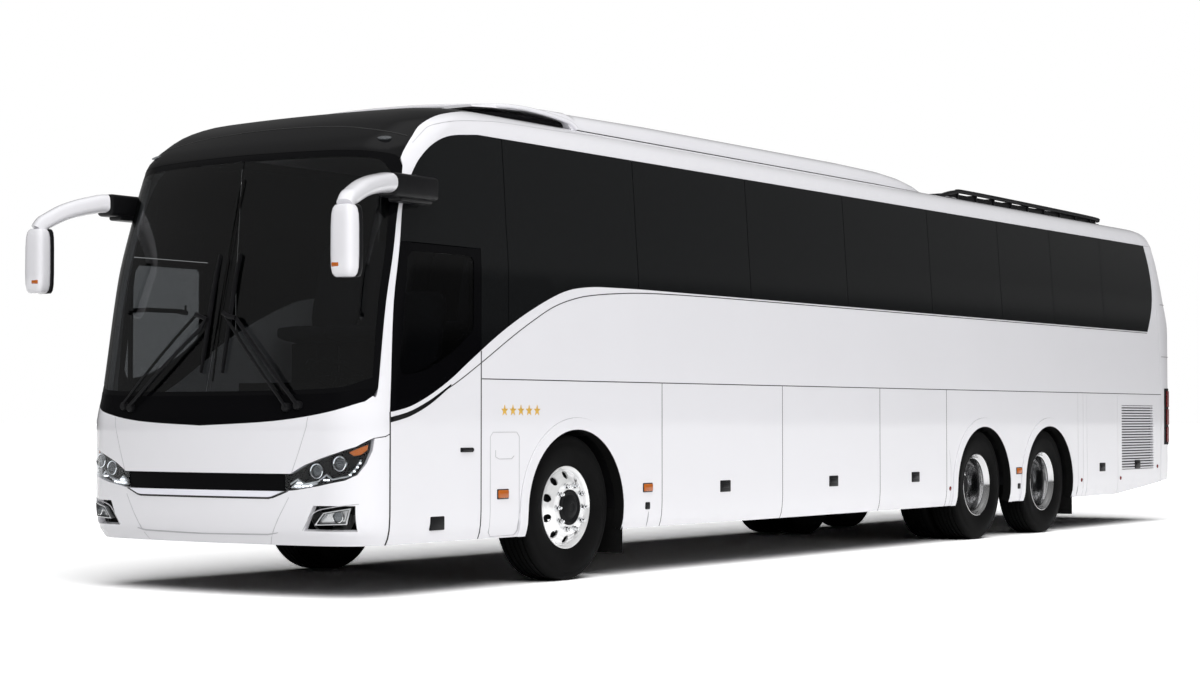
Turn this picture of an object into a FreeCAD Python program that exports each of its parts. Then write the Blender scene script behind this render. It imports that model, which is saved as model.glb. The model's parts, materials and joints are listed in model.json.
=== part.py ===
import FreeCAD, Part
import math
import os

from FreeCAD import Placement, Rotation, Vector

os.makedirs("parts", exist_ok=True)

# A three-axle touring coach. Millimetres: X to the coach's left, Y to the rear, Z up.
# The origin is on the ground under the middle of the box that holds the whole coach.

# ---------------------------------------------------------------- driving dimensions
body_length = 14420
body_width = 2550
mirror_reach = 460          # the mirrors hang this far ahead of the nose
front_overhang = 2470
wheelbase = 6850
tag_spacing = 1550          # drive axle to tag axle

skirt_z = 340               # lower edge of the body
waist_z = 1110              # lower edge of the black band under the windscreen
screen_z = 1310             # lower edge of the windscreen
lid_top_z = 1425            # upper edge of the lids along the skirt
window_z = 2120             # lower edge of the side windows
door_top_z = 2306           # upper edge of the front doors
header_z = 2920             # upper edge of the windscreen
gutter_z = 3090             # upper edge of the side windows
roof_z = 3300
deck_z = 1420               # top of the passenger deck
cab_floor_z = 950
bay_floor_z = 420

wall = 60                   # thickness of walls, doors, roof and lids
glass = 8
glass_joint = 4             # black joint round each bonded pane
door_gap = 6                # running gap round doors and lids
hinge_gap = 5               # from a hinge's axis to each of the two edges beside it
nose_radius = 5000          # bow of the nose in plan
corner_radius = 350
tail_corner_radius = 180

tyre_radius = 522
tyre_width = 298
rim_radius = 305
rim_width = 250
bead_radius = 286
twin_spacing = 330
tyre_inset = 40             # outer tyre wall to the body's side
kingpin_inset = 120         # kingpin to the steered wheel's middle plane
spindle_radius = 42
fit = 0.3                   # clearance at pins, spindles and seats
hinge_radius = 7            # half the thickness of a hinge's knuckle

# ---------------------------------------------------------------- places that follow
half_width = body_width / 2
whole_length = mirror_reach + body_length + hinge_radius
nose_y = mirror_reach - whole_length / 2
tail_y = nose_y + body_length
front_axle_y = nose_y + front_overhang
drive_axle_y = front_axle_y + wheelbase
tag_axle_y = drive_axle_y + tag_spacing
wheel_x = half_width - tyre_inset - tyre_width / 2
kingpin_x = wheel_x - kingpin_inset

door_front_y = front_axle_y - 2050
door_rear_y = front_axle_y - 1090
arch_radius = tyre_radius + 63
arch_z = tyre_radius - 20
arch_shift = 20             # arches sit a little behind their axles
arch_sides = 24

left_side = 1
right_side = -1


def at_front(y):
    """Y of a place measured rearwards from the front axle."""
    return front_axle_y + y


# ---------------------------------------------------------------- small helpers
def box(x0, x1, y0, y1, z0, z1):
    low = Vector(min(x0, x1), min(y0, y1), min(z0, z1))
    return Part.makeBox(abs(x1 - x0), abs(y1 - y0), abs(z1 - z0), low)


def rod(radius, start, end):
    direction = end - start
    return Part.makeCylinder(radius, direction.Length, start, direction)


def ring_points(radius, sides):
    """Corners of a regular outline whose flat sides lie at the given radius."""
    reach = radius / math.cos(math.pi / sides)
    angles = [2 * math.pi * (i + 0.5) / sides for i in range(sides)]
    return [(reach * math.cos(a), reach * math.sin(a)) for a in angles]


def bar(radius, start, end, sides=8):
    """A straight bar with flat sides, where nothing turns on it."""
    direction = end - start
    turn = Rotation(Vector(0, 0, 1), direction)
    corners = [start + turn.multVec(Vector(u, v, 0)) for u, v in ring_points(radius, sides)]
    return Part.Face(Part.makePolygon(corners + corners[:1])).extrude(direction)


def stack(rings):
    """A solid of flat faces through rings with as many corners each; a twisted run is split in two."""
    faces = [flat_face(*rings[0]), flat_face(*rings[-1])]
    for low, high in zip(rings, rings[1:]):
        for i in range(len(low)):
            a, b = low[i - 1], low[i]
            c, d = high[i], high[i - 1]
            normal = (b - a).cross(d - a).normalize()
            if abs(normal.dot(c - a)) > 1e-4:
                faces += [flat_face(a, b, c), flat_face(a, c, d)]
            else:
                faces.append(flat_face(a, b, c, d))
    shell = Part.makeShell(faces)
    shell.sewShape()
    solid = Part.makeSolid(shell)
    if solid.Volume < 0:
        solid.reverse()
    return solid


def fuse(shapes):
    first, rest = shapes[0], shapes[1:]
    return first.multiFuse(rest).removeSplitter() if rest else first


def flat_face(*corners):
    return Part.Face(Part.makePolygon(list(corners) + [corners[0]]))


arc_runs = 6


def outline(steps, place):
    """Closed face: each step is a point, or a pair of points for an arc's middle and end."""
    corners = [place(*steps[0])]
    for step in steps[1:]:
        if isinstance(step[0], tuple):
            arc = Part.Arc(corners[-1], place(*step[0]), place(*step[1]))
            corners += arc.discretize(Number=arc_runs + 1)[1:]
        else:
            corners.append(place(*step))
    return flat_face(*corners)


def side_prism(steps, x0, x1):
    """An outline in Y and Z, pushed through from x0 to x1."""
    face = outline(steps, lambda y, z: Vector(min(x0, x1), y, z))
    return face.extrude(Vector(abs(x1 - x0), 0, 0))


def front_prism(steps, y0, y1):
    """An outline in X and Z, pushed through from y0 to y1."""
    face = outline(steps, lambda x, z: Vector(x, y0, z))
    return face.extrude(Vector(0, y1 - y0, 0))


def mirrored(shape):
    return shape.mirror(Vector(0, 0, 0), Vector(1, 0, 0))


def on_side(side, shape):
    """A shape drawn for the left side, or its mirror image for the right."""
    return shape if side == left_side else mirrored(shape)


# ---------------------------------------------------------------- body form
# height, tuck of each side, set-back of the nose, set-back of the tail
body_sections = [
    (skirt_z, 30, 70, 40),
    (skirt_z + 80, 7, 25, 20),
    (skirt_z + 210, 0, 5, 10),
    (waist_z, 0, 0, 0),
    (screen_z, 0, 45, 0),
    (window_z, 0, 190, 0),
    ((window_z + header_z) / 2, 24, 295, 95),
    (header_z, 50, 425, 240),
    (header_z + 80, 56, 500, 290),
    (gutter_z, 63, 625, 350),
    (gutter_z + 60, 75, 720, 395),
    (gutter_z + 115, 105, 840, 445),
    (roof_z - 48, 165, 980, 540),
    (roof_z - 15, 275, 1160, 700),
    (roof_z, 395, 1360, 860),
]


nose_runs = 3               # straight runs in half the bowed nose
corner_runs = 4
tail_corner_runs = 3


def plan_ring(z, half, front, rear, bow, corner, tail_corner):
    """Closed plan section in short straight runs: bowed nose, round corners, straight sides."""
    cx = half - corner
    lean = math.asin(cx / (bow - corner))
    cy = front + bow - (bow - corner) * math.cos(lean)
    points = []
    for i in range(nose_runs + 1):
        a = lean * i / nose_runs
        points.append((bow * math.sin(a), front + bow * (1 - math.cos(a))))
    for i in range(1, corner_runs + 1):
        a = lean + (math.pi / 2 - lean) * i / corner_runs
        points.append((cx + corner * math.sin(a), cy - corner * math.cos(a)))
    for i in range(tail_corner_runs + 1):
        a = math.pi / 2 * i / tail_corner_runs
        points.append((half - tail_corner * (1 - math.cos(a)), rear - tail_corner * (1 - math.sin(a))))
    points += [(-x, y) for x, y in reversed(points[1:])]
    return [Vector(x, y, z) for x, y in points]


def body_form(inset):
    """The body's outer form, drawn in by an inset; an inset form runs on below the skirt."""
    rings = []
    rows = list(body_sections)
    if inset:
        low = rows[0]
        rows.insert(0, (low[0] - 100, low[1], low[2], low[3]))
    for height, tuck, nose, tail in rows:
        share = max(0, (height - gutter_z) / (roof_z - gutter_z))
        rings.append(plan_ring(
            height - inset * share,
            half_width - tuck - inset,
            nose_y + nose + inset,
            tail_y - tail - inset,
            nose_radius - inset,
            corner_radius - inset,
            tail_corner_radius - inset))
    return stack(rings)


outer_form = body_form(0)
glass_form = body_form(glass)
inner_form = body_form(wall)
shell = outer_form.cut(inner_form)
skin = outer_form.cut(glass_form)

# The tail's underside rises behind the engine's front end.
rise_start_y = at_front(10270)
tail_rise = 150
under_tail = side_prism([
    (rise_start_y, skirt_z),
    (tail_y + 100, skirt_z + tail_rise),
    (tail_y + 100, skirt_z - 200),
    (rise_start_y, skirt_z - 200),
], -body_width, body_width)
shell = shell.cut(under_tail)

# ---------------------------------------------------------------- lines on the side
# Rear edge of the windscreen pillar, then the arc that rounds the glass up to the gutter.
pillar_foot = (door_front_y, lid_top_z)
pillar_middle = (at_front(-1990), 1900)
pillar_head = (at_front(-1790), 2740)
brow_end = (at_front(-1050), gutter_z)
brow_radius = 690


def brow_y(z):
    """Y on the arc that runs from the pillar's head up to the gutter, where it lies level."""
    rise = brow_radius - (gutter_z - z)
    return brow_end[0] - math.sqrt(brow_radius ** 2 - rise ** 2)


def pillar_y(z):
    """Y of the front edge of the side glass and of the front doors."""
    rows = (pillar_foot, pillar_middle, pillar_head)
    if z <= pillar_foot[1]:
        return pillar_foot[0]
    for (y0, z0), (y1, z1) in zip(rows, rows[1:]):
        if z <= z1:
            return y0 + (y1 - y0) * (z - z0) / (z1 - z0)
    return brow_y(z)


pillar_head = (brow_y(pillar_head[1]), pillar_head[1])
glass_top_z = gutter_z - 4
brow_heights = [2830, header_z, 3000, 3055, glass_top_z]
brow_points = [(brow_y(z), z) for z in brow_heights]
brow_start = brow_points[1]
window_end_y = at_front(11240)
wall_end_y = at_front(11590)
wall_head_y = at_front(11420)

# The sweep: lower edge of the black glass, rising from the nose to the window line.
sweep_start = (door_front_y - 10, 1200)
sweep_low = (at_front(-1640), 1314)
sweep_turn = (at_front(-1200), 1552)
sweep_high = (at_front(-500), 1908)
sweep_end = (at_front(560), window_z)


def wall_steps(front_y):
    """Side wall from its front edge to the tail seam, with the header over the door."""
    return [
        (front_y, skirt_z - 50),
        (front_y, door_top_z),
        (pillar_y(door_top_z) - hinge_gap, door_top_z),
        (pillar_head[0] - hinge_gap, pillar_head[1]),
        pillar_head,
        *brow_points,
        brow_end,
        (wall_head_y, gutter_z),
        (wall_end_y, lid_top_z),
        (wall_end_y, skirt_z - 50),
    ]


glass_steps = [
    sweep_start,
    (sweep_low, sweep_turn),
    (sweep_high, sweep_end),
    (at_front(11190), window_z),
    ((at_front(11390), (window_z + gutter_z) / 2), (window_end_y, glass_top_z)),
    *reversed(brow_points),
    pillar_head,
    pillar_middle,
    pillar_foot,
]
pane_seams = [-780, 850, 2500, 4150, 5790, 7330, 8600, 9940]
pane_seam_y = [at_front(y) for y in pane_seams]
window_margin = 82
window_sill_z = window_z + 55
window_head_z = gutter_z - 65

# name, front edge, rear edge, lower edge, sides that have it
lid_table = [
    ("luggage_lid_front", at_front(1170), at_front(3000), skirt_z, (left_side, right_side)),
    ("luggage_lid_middle", at_front(3000), at_front(4730), skirt_z, (left_side, right_side)),
    ("luggage_lid_rear", at_front(4730), at_front(6070), skirt_z, (left_side, right_side)),
    ("service_lid", at_front(9430), at_front(10290), skirt_z, (left_side,)),
    ("engine_side_lid", at_front(10290), at_front(11560), skirt_z, (left_side, right_side)),
]
side_names = {left_side: "left", right_side: "right"}
axle_places = [front_axle_y, drive_axle_y, tag_axle_y]

nodes = {}


# ---------------------------------------------------------------- hinges
hinge_pin_radius = 4
knuckle_length = 40         # each half of a door's hinge
lid_knuckle_length = 180    # each half of a lid's hinge
hinge_clear = hinge_radius + hinge_gap


def flat_pin(radius, start, end):
    """A pin with eight sides inside its round outline."""
    return bar(radius * math.cos(math.pi / 8), start, end)


def hinge(frame, leaf, foot, direction, length, pin=rod):
    """A hinge on the line through foot: square knuckles, and a pin held by the frame's one."""
    step = Vector(direction).normalize()
    joint = foot + step * length
    leaf_start = joint + step * fit
    leaf_end = leaf_start + step * length
    frame = frame.cut(bar(hinge_clear, joint, leaf_end + step * hinge_gap, 4))
    frame = frame.fuse([
        bar(hinge_radius, foot, joint, 4),
        pin(hinge_pin_radius, joint - step * hinge_gap, leaf_end - step * 2)])
    leaf = leaf.cut(bar(hinge_clear, foot - step * hinge_gap, joint + step * (fit / 2), 4))
    leaf = leaf.fuse(bar(hinge_radius, leaf_start, leaf_end, 4))
    leaf = leaf.cut(bar(hinge_pin_radius + fit, joint, leaf_end + step * hinge_gap))
    return frame, leaf


def middle_hinge(frame, leaf, middle, direction):
    """The one long hinge in the middle of a lid's upper edge."""
    step = Vector(direction).normalize()
    return hinge(frame, leaf, middle - step * lid_knuckle_length, step, lid_knuckle_length, flat_pin)


# ---------------------------------------------------------------- side walls, lids and doors
def side_wall(side, front_y):
    panel = shell.common(on_side(side, side_prism(wall_steps(front_y), 300, half_width + 50)))
    cuts = []
    for y in axle_places:
        middle = Vector(side * (half_width - 200), y + arch_shift, arch_z)
        cuts.append(bar(arch_radius, middle, middle + Vector(side * 300, 0, 0), arch_sides))
        cuts.append(box(side * (half_width - 200), side * (half_width + 100),
                        y + arch_shift - arch_radius, y + arch_shift + arch_radius,
                        skirt_z - 100, arch_z))
    for name, y0, y1, z0, sides in lid_table:
        if side in sides:
            cuts.append(box(side * 300, side * (half_width + 50), y0 - door_gap / 2, y1 + door_gap / 2,
                            z0 - 100, lid_top_z + hinge_gap))
    recess = skin.common(on_side(side, side_prism(glass_steps, 300, half_width + 50)))
    cuts.append(recess)
    for start, end in zip(pane_seam_y, pane_seam_y[1:] + [window_end_y]):
        cuts.append(box(side * 300, side * (half_width + 50), start + window_margin,
                        end - window_margin, window_sill_z, window_head_z))
    return panel.cut(cuts)


def side_glass(side, front_y):
    band = skin.common(on_side(side, side_prism(glass_steps, 300, half_width + 50)))
    x0, x1 = side * 300, side * (half_width + 50)
    joint = glass_joint
    cuts = [box(x0, x1, y - joint, y + joint, waist_z, gutter_z) for y in pane_seam_y]
    cuts.append(box(x0, x1, at_front(-2200), front_y + door_gap, waist_z, door_top_z + door_gap))
    cuts.append(box(x0, x1, at_front(-2200), pane_seam_y[0], 2535 - joint, 2535 + joint))
    return band.cut(cuts)


def skirt_lid(y0, y1, z0, side):
    region = box(side * 300, side * (half_width + 50), y0 + door_gap / 2, y1 - door_gap / 2,
                 z0 - 50, lid_top_z - hinge_gap)
    return shell.common(region)


louvre_low_z = 590
louvre_top_z = 1310
louvre_count = 12
louvre_rise = 26


def louvred(lid, side, y0, y1):
    """Cuts the grille's opening and fills it with slats that slope down and outwards."""
    outer = half_width - 6
    inner = half_width - wall + 6
    lid = lid.cut(box(side * 300, side * (half_width + 50), y0, y1, louvre_low_z, louvre_top_z))
    pitch = (louvre_top_z - louvre_low_z) / louvre_count
    slats = []
    for i in range(louvre_count):
        z = louvre_low_z + pitch * (i + 0.5)
        steps = [(side * outer, z - louvre_rise), (side * inner, z + louvre_rise - 6),
                 (side * inner, z + louvre_rise), (side * outer, z - louvre_rise + 6)]
        slats.append(front_prism(steps, y0 - 5, y1 + 5))
    return lid.fuse(slats)


walls = {}
for side in (left_side, right_side):
    name = side_names[side]
    walls[side] = side_wall(side, door_rear_y)
    nodes["side_glass_" + name] = side_glass(side, door_rear_y)

for name, y0, y1, z0, sides in lid_table:
    for side in sides:
        lid = skirt_lid(y0, y1, z0, side)
        if name == "engine_side_lid":
            lid = louvred(lid, side, y0 + 110, y1 - 180)
        middle = Vector(side * half_width, (y0 + y1) / 2, lid_top_z)
        walls[side], lid = middle_hinge(walls[side], lid, middle, Vector(0, 1, 0))
        nodes[name + "_" + side_names[side]] = lid

# ---------------------------------------------------------------- nose
nose_bumper_z = 690
bumper_steps = [(nose_y - 50, skirt_z - 50), (door_front_y, skirt_z - 50),
                (door_front_y, nose_bumper_z - 3), (nose_y - 50, nose_bumper_z - 3)]
nodes["front_bumper"] = shell.common(side_prism(bumper_steps, -body_width, body_width))

# rear edge of the windscreen, lower to upper
screen_edge = [(at_front(-2128), screen_z), (at_front(-2042), 1919),
               (at_front(-1930), 2400), (at_front(-1826), 2811), (at_front(-1850), header_z)]
screen_steps = [(nose_y - 50, screen_z)] + screen_edge + [(nose_y - 50, header_z)]
screen_prism = side_prism(screen_steps, -body_width, body_width)
screen_hole_steps = [(nose_y - 50, screen_z + 40)]
screen_hole_steps += [(y - 30, z) for y, z in screen_edge[1:-1]]
screen_hole_steps.insert(1, (screen_edge[0][0] - 30, screen_z + 40))
screen_hole_steps += [(screen_edge[-1][0] - 30, header_z - 40), (nose_y - 50, header_z - 40)]
screen_hole = side_prism(screen_hole_steps, -half_width + 30, half_width - 30)

nose_steps = [
    (nose_y - 50, nose_bumper_z + 3),
    (door_front_y - hinge_gap, nose_bumper_z + 3),
    (door_front_y - hinge_gap, lid_top_z),
    (pillar_middle[0] - hinge_gap, pillar_middle[1]),
    (pillar_head[0] - hinge_gap, pillar_head[1]),
    pillar_head,
    brow_points[0],
    brow_start,
    (nose_y - 50, header_z),
]
nose = shell.common(side_prism(nose_steps, -body_width, body_width))
nose = nose.cut([skin.common(screen_prism), screen_hole])
screen = skin.common(screen_prism)
screen = screen.cut(box(-glass_joint, glass_joint, nose_y - 100, nose_y + 1000, screen_z, header_z))
nodes["windscreen"] = screen

# ---------------------------------------------------------------- roof and tail
roof_steps = [
    (nose_y - 50, header_z),
    *brow_points[1:],
    brow_end,
    (wall_head_y, gutter_z),
    (tail_y + 50, gutter_z),
    (tail_y + 50, roof_z + 50),
    (nose_y - 50, roof_z + 50),
]
nodes["roof"] = shell.common(side_prism(roof_steps, -body_width, body_width))
nodes["front_panel"] = nose

tail_steps = [
    (wall_end_y, skirt_z - 50),
    (wall_end_y, lid_top_z),
    (wall_head_y, gutter_z),
    (tail_y + 50, gutter_z),
    (tail_y + 50, skirt_z - 50),
]
tail = shell.common(side_prism(tail_steps, -body_width, body_width))
engine_lid_half = 800
engine_lid_low_z = 720
engine_lid_top_z = 1640
tail_window_half = 880
tail_window_low_z = 2180
tail_window_top_z = 2800
tail = tail.cut(box(-engine_lid_half - door_gap, engine_lid_half + door_gap, tail_y - 300, tail_y + 50,
                    engine_lid_low_z - door_gap, engine_lid_top_z + hinge_gap))
tail_window = box(-tail_window_half, tail_window_half, tail_y - 500, tail_y + 50,
                  tail_window_low_z, tail_window_top_z)
tail_hole = box(-tail_window_half + 50, tail_window_half - 50, tail_y - 500, tail_y + 50,
                tail_window_low_z + 50, tail_window_top_z - 50)
tail = tail.cut([skin.common(tail_window), tail_hole])
nodes["rear_glass"] = skin.common(tail_window)
engine_lid = shell.common(box(-engine_lid_half, engine_lid_half, tail_y - 300, tail_y + 50,
                              engine_lid_low_z, engine_lid_top_z - hinge_gap))
tail, engine_lid = middle_hinge(tail, engine_lid, Vector(0, tail_y, engine_lid_top_z), Vector(1, 0, 0))
nodes["rear_panel"] = tail
nodes["engine_lid"] = engine_lid

# ---------------------------------------------------------------- driver's door
driver_door_steps = [
    (door_front_y + hinge_gap, skirt_z - 50),
    (door_front_y + hinge_gap, lid_top_z),
    (pillar_middle[0] + hinge_gap, pillar_middle[1]),
    (pillar_y(door_top_z) + hinge_gap, door_top_z - door_gap),
    (door_rear_y - door_gap, door_top_z - door_gap),
    (door_rear_y - door_gap, skirt_z - 50),
]
door_steps_prism = side_prism(driver_door_steps, 300, half_width + 50)
driver_door = shell.common(door_steps_prism)
door_glass_region = door_steps_prism.common(side_prism(glass_steps, 300, half_width + 50))
driver_glass = skin.common(door_glass_region)
driver_window = side_prism([
    (at_front(-1860), 1420),
    (at_front(-1600), 1480),
    (at_front(-1180), 1690),
    (at_front(-1180), 2260),
    (at_front(-1790), 2260),
    (at_front(-1860), 2060),
], 300, half_width + 50)
driver_door = driver_door.cut([skin.common(door_glass_region), driver_window])
for z in (nose_bumper_z + 50, waist_z - 40):
    foot = Vector(half_width, door_front_y, z)
    nodes["front_panel"], driver_door = hinge(nodes["front_panel"], driver_door, foot,
                                              Vector(0, 0, 1), knuckle_length)
nodes["driver_door"] = driver_door
nodes["driver_door_glass"] = driver_glass

# ---------------------------------------------------------------- passenger door on its swing arms
swing_length = 500
swing_rest = math.radians(-5)      # closed: the arms point rearwards and 5 degrees inwards
post_x = -(half_width - 150)
post_y = door_front_y + 50
post_radius = 18
post_low_z = 700
post_high_z = 2080
arm_levels = [760, 1900]
arm_plate = 30
arm_width = 36
crank = 170
door_pin = Vector(post_x - swing_length * math.sin(swing_rest),
                  post_y + swing_length * math.cos(swing_rest), 0)
passenger_gap = 8

passenger_steps = [
    (door_front_y + passenger_gap, skirt_z - 50),
    (door_front_y + passenger_gap, lid_top_z),
    (pillar_middle[0] + passenger_gap, pillar_middle[1]),
    (pillar_y(door_top_z) + passenger_gap, door_top_z - passenger_gap),
    (door_rear_y - passenger_gap, door_top_z - passenger_gap),
    (door_rear_y - passenger_gap, skirt_z - 50),
]
passenger_prism = side_prism(passenger_steps, -half_width - 50, -300)
passenger_pane = side_prism([
    (door_front_y + 70, 760),
    (door_front_y + 70, lid_top_z),
    (pillar_middle[0] + 70, pillar_middle[1]),
    (at_front(-1820), door_top_z - 70),
    (door_rear_y - 70, door_top_z - 70),
    (door_rear_y - 70, 760),
], -half_width - 50, -300)
passenger_hole = side_prism([
    (door_front_y + 130, 820),
    (door_front_y + 130, lid_top_z),
    (pillar_middle[0] + 130, pillar_middle[1]),
    (at_front(-1760), door_top_z - 130),
    (door_rear_y - 130, door_top_z - 130),
    (door_rear_y - 130, 820),
], -half_width - 50, -300)
passenger_door = shell.common(passenger_prism).cut([skin.common(passenger_pane), passenger_hole])
nodes["passenger_door_glass"] = skin.common(passenger_pane)

along = Vector(-math.sin(swing_rest), math.cos(swing_rest), 0)
inward = Vector(math.cos(swing_rest), math.sin(swing_rest), 0)
post_axis = Vector(post_x, post_y, 0)


def arm_point(u, v, z):
    return post_axis + along * u + inward * v + Vector(0, 0, z)


arms = [rod(post_radius, Vector(post_x, post_y, post_low_z), Vector(post_x, post_y, post_high_z))]
for z in arm_levels:
    half = arm_width / 2
    path = [(0, 0), (0, crank), (swing_length * 0.6, crank), (swing_length, 0)]
    for (u0, v0), (u1, v1) in zip(path, path[1:]):
        start, end = arm_point(u0, v0, z), arm_point(u1, v1, z)
        run = end - start
        across = Vector(-run.y, run.x, 0).normalize() * half
        face = Part.Face(Part.makePolygon([start - across, end - across, end + across,
                                           start + across, start - across]))
        arms.append(face.extrude(Vector(0, 0, arm_plate)))
        arms.append(bar(half, end, end + Vector(0, 0, arm_plate)))
    pin_foot = arm_point(swing_length, 0, z)
    arms.append(rod(8, pin_foot, pin_foot + Vector(0, 0, arm_plate + 40)))
    block_z = z + arm_plate + 1
    block = box(-half_width + wall - 5, door_pin.x + 20, door_pin.y - 25, door_pin.y + 25,
                block_z, block_z + 36)
    block = block.fuse(bar(25, Vector(door_pin.x, door_pin.y, block_z),
                           Vector(door_pin.x, door_pin.y, block_z + 36)))
    block = block.cut(bar(8 + fit, pin_foot, pin_foot + Vector(0, 0, 120)))
    # the bracket crosses the window, so a rail behind the glass carries it
    rail = box(-half_width + wall - 30, -half_width + wall, door_front_y + 100, door_rear_y - 100,
               block_z, block_z + 36)
    passenger_door = passenger_door.fuse([block, rail])
nodes["passenger_door"] = passenger_door.removeSplitter()
nodes["passenger_door_arms"] = fuse(arms)

low_bracket = box(-half_width + wall + 12, post_x + 30, door_front_y - 60, post_y + 30,
                  post_low_z, post_low_z + 30)
low_foot = box(-half_width + wall - 12, post_x, door_front_y - 60, door_front_y - 2 * door_gap,
               post_low_z, post_low_z + 30)
high_bracket = box(-half_width + wall + 15, post_x + 30, post_y - 30, post_y + 30,
                   post_high_z - 30, post_high_z)
post_hole = bar(post_radius + fit, Vector(post_x, post_y, post_low_z - 5),
                Vector(post_x, post_y, post_high_z + 5))
brackets = fuse([low_bracket, low_foot]).cut(post_hole), high_bracket.cut(post_hole)
nodes["front_panel"] = nodes["front_panel"].fuse(list(brackets))

for side in (left_side, right_side):
    nodes["side_wall_" + side_names[side]] = walls[side]


# ---------------------------------------------------------------- wheels
wheel_sides = 20            # twice the number of hand holes, so each lies in one flat


def drum(rows, x, y, sides=wheel_sides):
    """Flat-sided rings about a wheel's line along X, joined; rows are (offset along X, radius)."""
    return stack([[Vector(x + offset, y + u, tyre_radius + v) for u, v in ring_points(radius, sides)]
                  for offset, radius in rows])


half_tyre = tyre_width / 2
half_rim = rim_width / 2
flange = 12                 # width of the rim's flange
shoulder = 44               # width of the tread's rounded shoulder
barrel_wall = 14


def tyre(x, y):
    seat = half_rim - flange - 1
    side_rows = [(seat, rim_radius + 1), (half_tyre, rim_radius + 95),
                 (half_tyre - 14, tyre_radius - 26), (half_tyre - shoulder, tyre_radius)]
    rows = [(-offset, radius) for offset, radius in side_rows] + side_rows[::-1]
    return drum(rows, x, y).cut(drum([(-seat, bead_radius), (seat, bead_radius)], x, y))


hub_radius = 78
hub_sides = 10
hub_cap = 12                # the hub's closed end
hub_foot_radius = 110
disc_thickness = 16
disc_flat_radius = 170      # the bolting face, inside the sloping part with the hand holes
dish_offset = 165           # bolting face of a dished rim from its middle plane
hand_holes = 10
hand_hole_ring = 212
hand_hole_radius = 27
seat_depth = bead_radius - fit
disc_edge_radius = seat_depth - 5


def disc(side, x, y, face_offset):
    """The wheel's disc, bulging outwards or dished inwards, with a flat bolting face."""
    f, inward = side * face_offset, -side * disc_thickness
    foot = side * math.copysign(half_rim - 50, face_offset)
    if face_offset > 0:
        body = drum([(foot + inward, disc_edge_radius), (foot, disc_edge_radius),
                     (f, disc_flat_radius)], x, y)
        return body.cut(drum([(foot + inward, disc_edge_radius), (f + inward, disc_flat_radius)], x, y))
    body = drum([(f + inward, disc_flat_radius), (foot, disc_edge_radius),
                 (foot - inward, disc_edge_radius)], x, y)
    return body.cut(drum([(f, disc_flat_radius), (foot - inward, disc_edge_radius)], x, y))


def rim(side, x, y, face_offset, hub_length):
    """Barrel, bolted disc and hub; face_offset is the disc's place outboard of the middle plane."""
    edge, seat = half_rim, half_rim - flange
    barrel = drum([(-edge, rim_radius), (-seat, rim_radius), (-seat, seat_depth),
                   (seat, seat_depth), (seat, rim_radius), (edge, rim_radius)], x, y)
    bore = seat_depth - barrel_wall
    barrel = barrel.cut(drum([(-edge, rim_radius - 6), (-seat - 10, bore),
                              (seat + 10, bore), (edge, rim_radius - 6)], x, y))
    parts = [barrel, disc(side, x, y, face_offset)]
    low = side * (face_offset - disc_thickness)
    high = side * (face_offset + hub_length)
    if hub_length:
        parts.append(drum([(low, hub_foot_radius), (side * face_offset, hub_foot_radius),
                           (high, hub_radius)], x, y, hub_sides))
    wheel = parts[0].fuse(parts[1:])
    middle = Vector(x, y, tyre_radius)
    bore_end = side * (face_offset + max(hub_length, 30) - hub_cap)
    holes = [bar(spindle_radius + fit, middle + Vector(low - side, 0, 0), middle + Vector(bore_end, 0, 0),
                 hub_sides)]
    if hub_length:
        for i in range(hand_holes):
            angle = 2 * math.pi * (i + 0.5) / hand_holes
            place = middle + Vector(0, math.cos(angle), math.sin(angle)) * hand_hole_ring
            reach = Vector(half_tyre + 50, 0, 0)
            holes.append(bar(hand_hole_radius, place - reach, place + reach, 6))
    return wheel.cut(holes)


# axle name, Y, wheel middles inboard of the outer one, disc place, hub length
wheel_table = [
    ("front", front_axle_y, [0], 140, 30),
    ("drive", drive_axle_y, [0, twin_spacing], -dish_offset, 130),
    ("tag", tag_axle_y, [0], -dish_offset, 130),
]
hub_ends = {}
for axle, y, offsets, face_offset, hub_length in wheel_table:
    for side in (left_side, right_side):
        tyres = [tyre(side * (wheel_x - offset), y) for offset in offsets]
        nodes["tyre_" + axle + "_" + side_names[side]] = Part.makeCompound(tyres)
        wheel = rim(side, side * wheel_x, y, face_offset, hub_length)
        if len(offsets) > 1:
            # the inner rim is turned round, so its disc lies against the outer one's
            inner = rim(side, side * (wheel_x - twin_spacing), y,
                        twin_spacing + face_offset, 0)
            wheel = wheel.fuse(inner)
        nodes["rim_" + axle + "_" + side_names[side]] = wheel
    hub_ends[axle] = face_offset + hub_length - hub_cap

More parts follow.
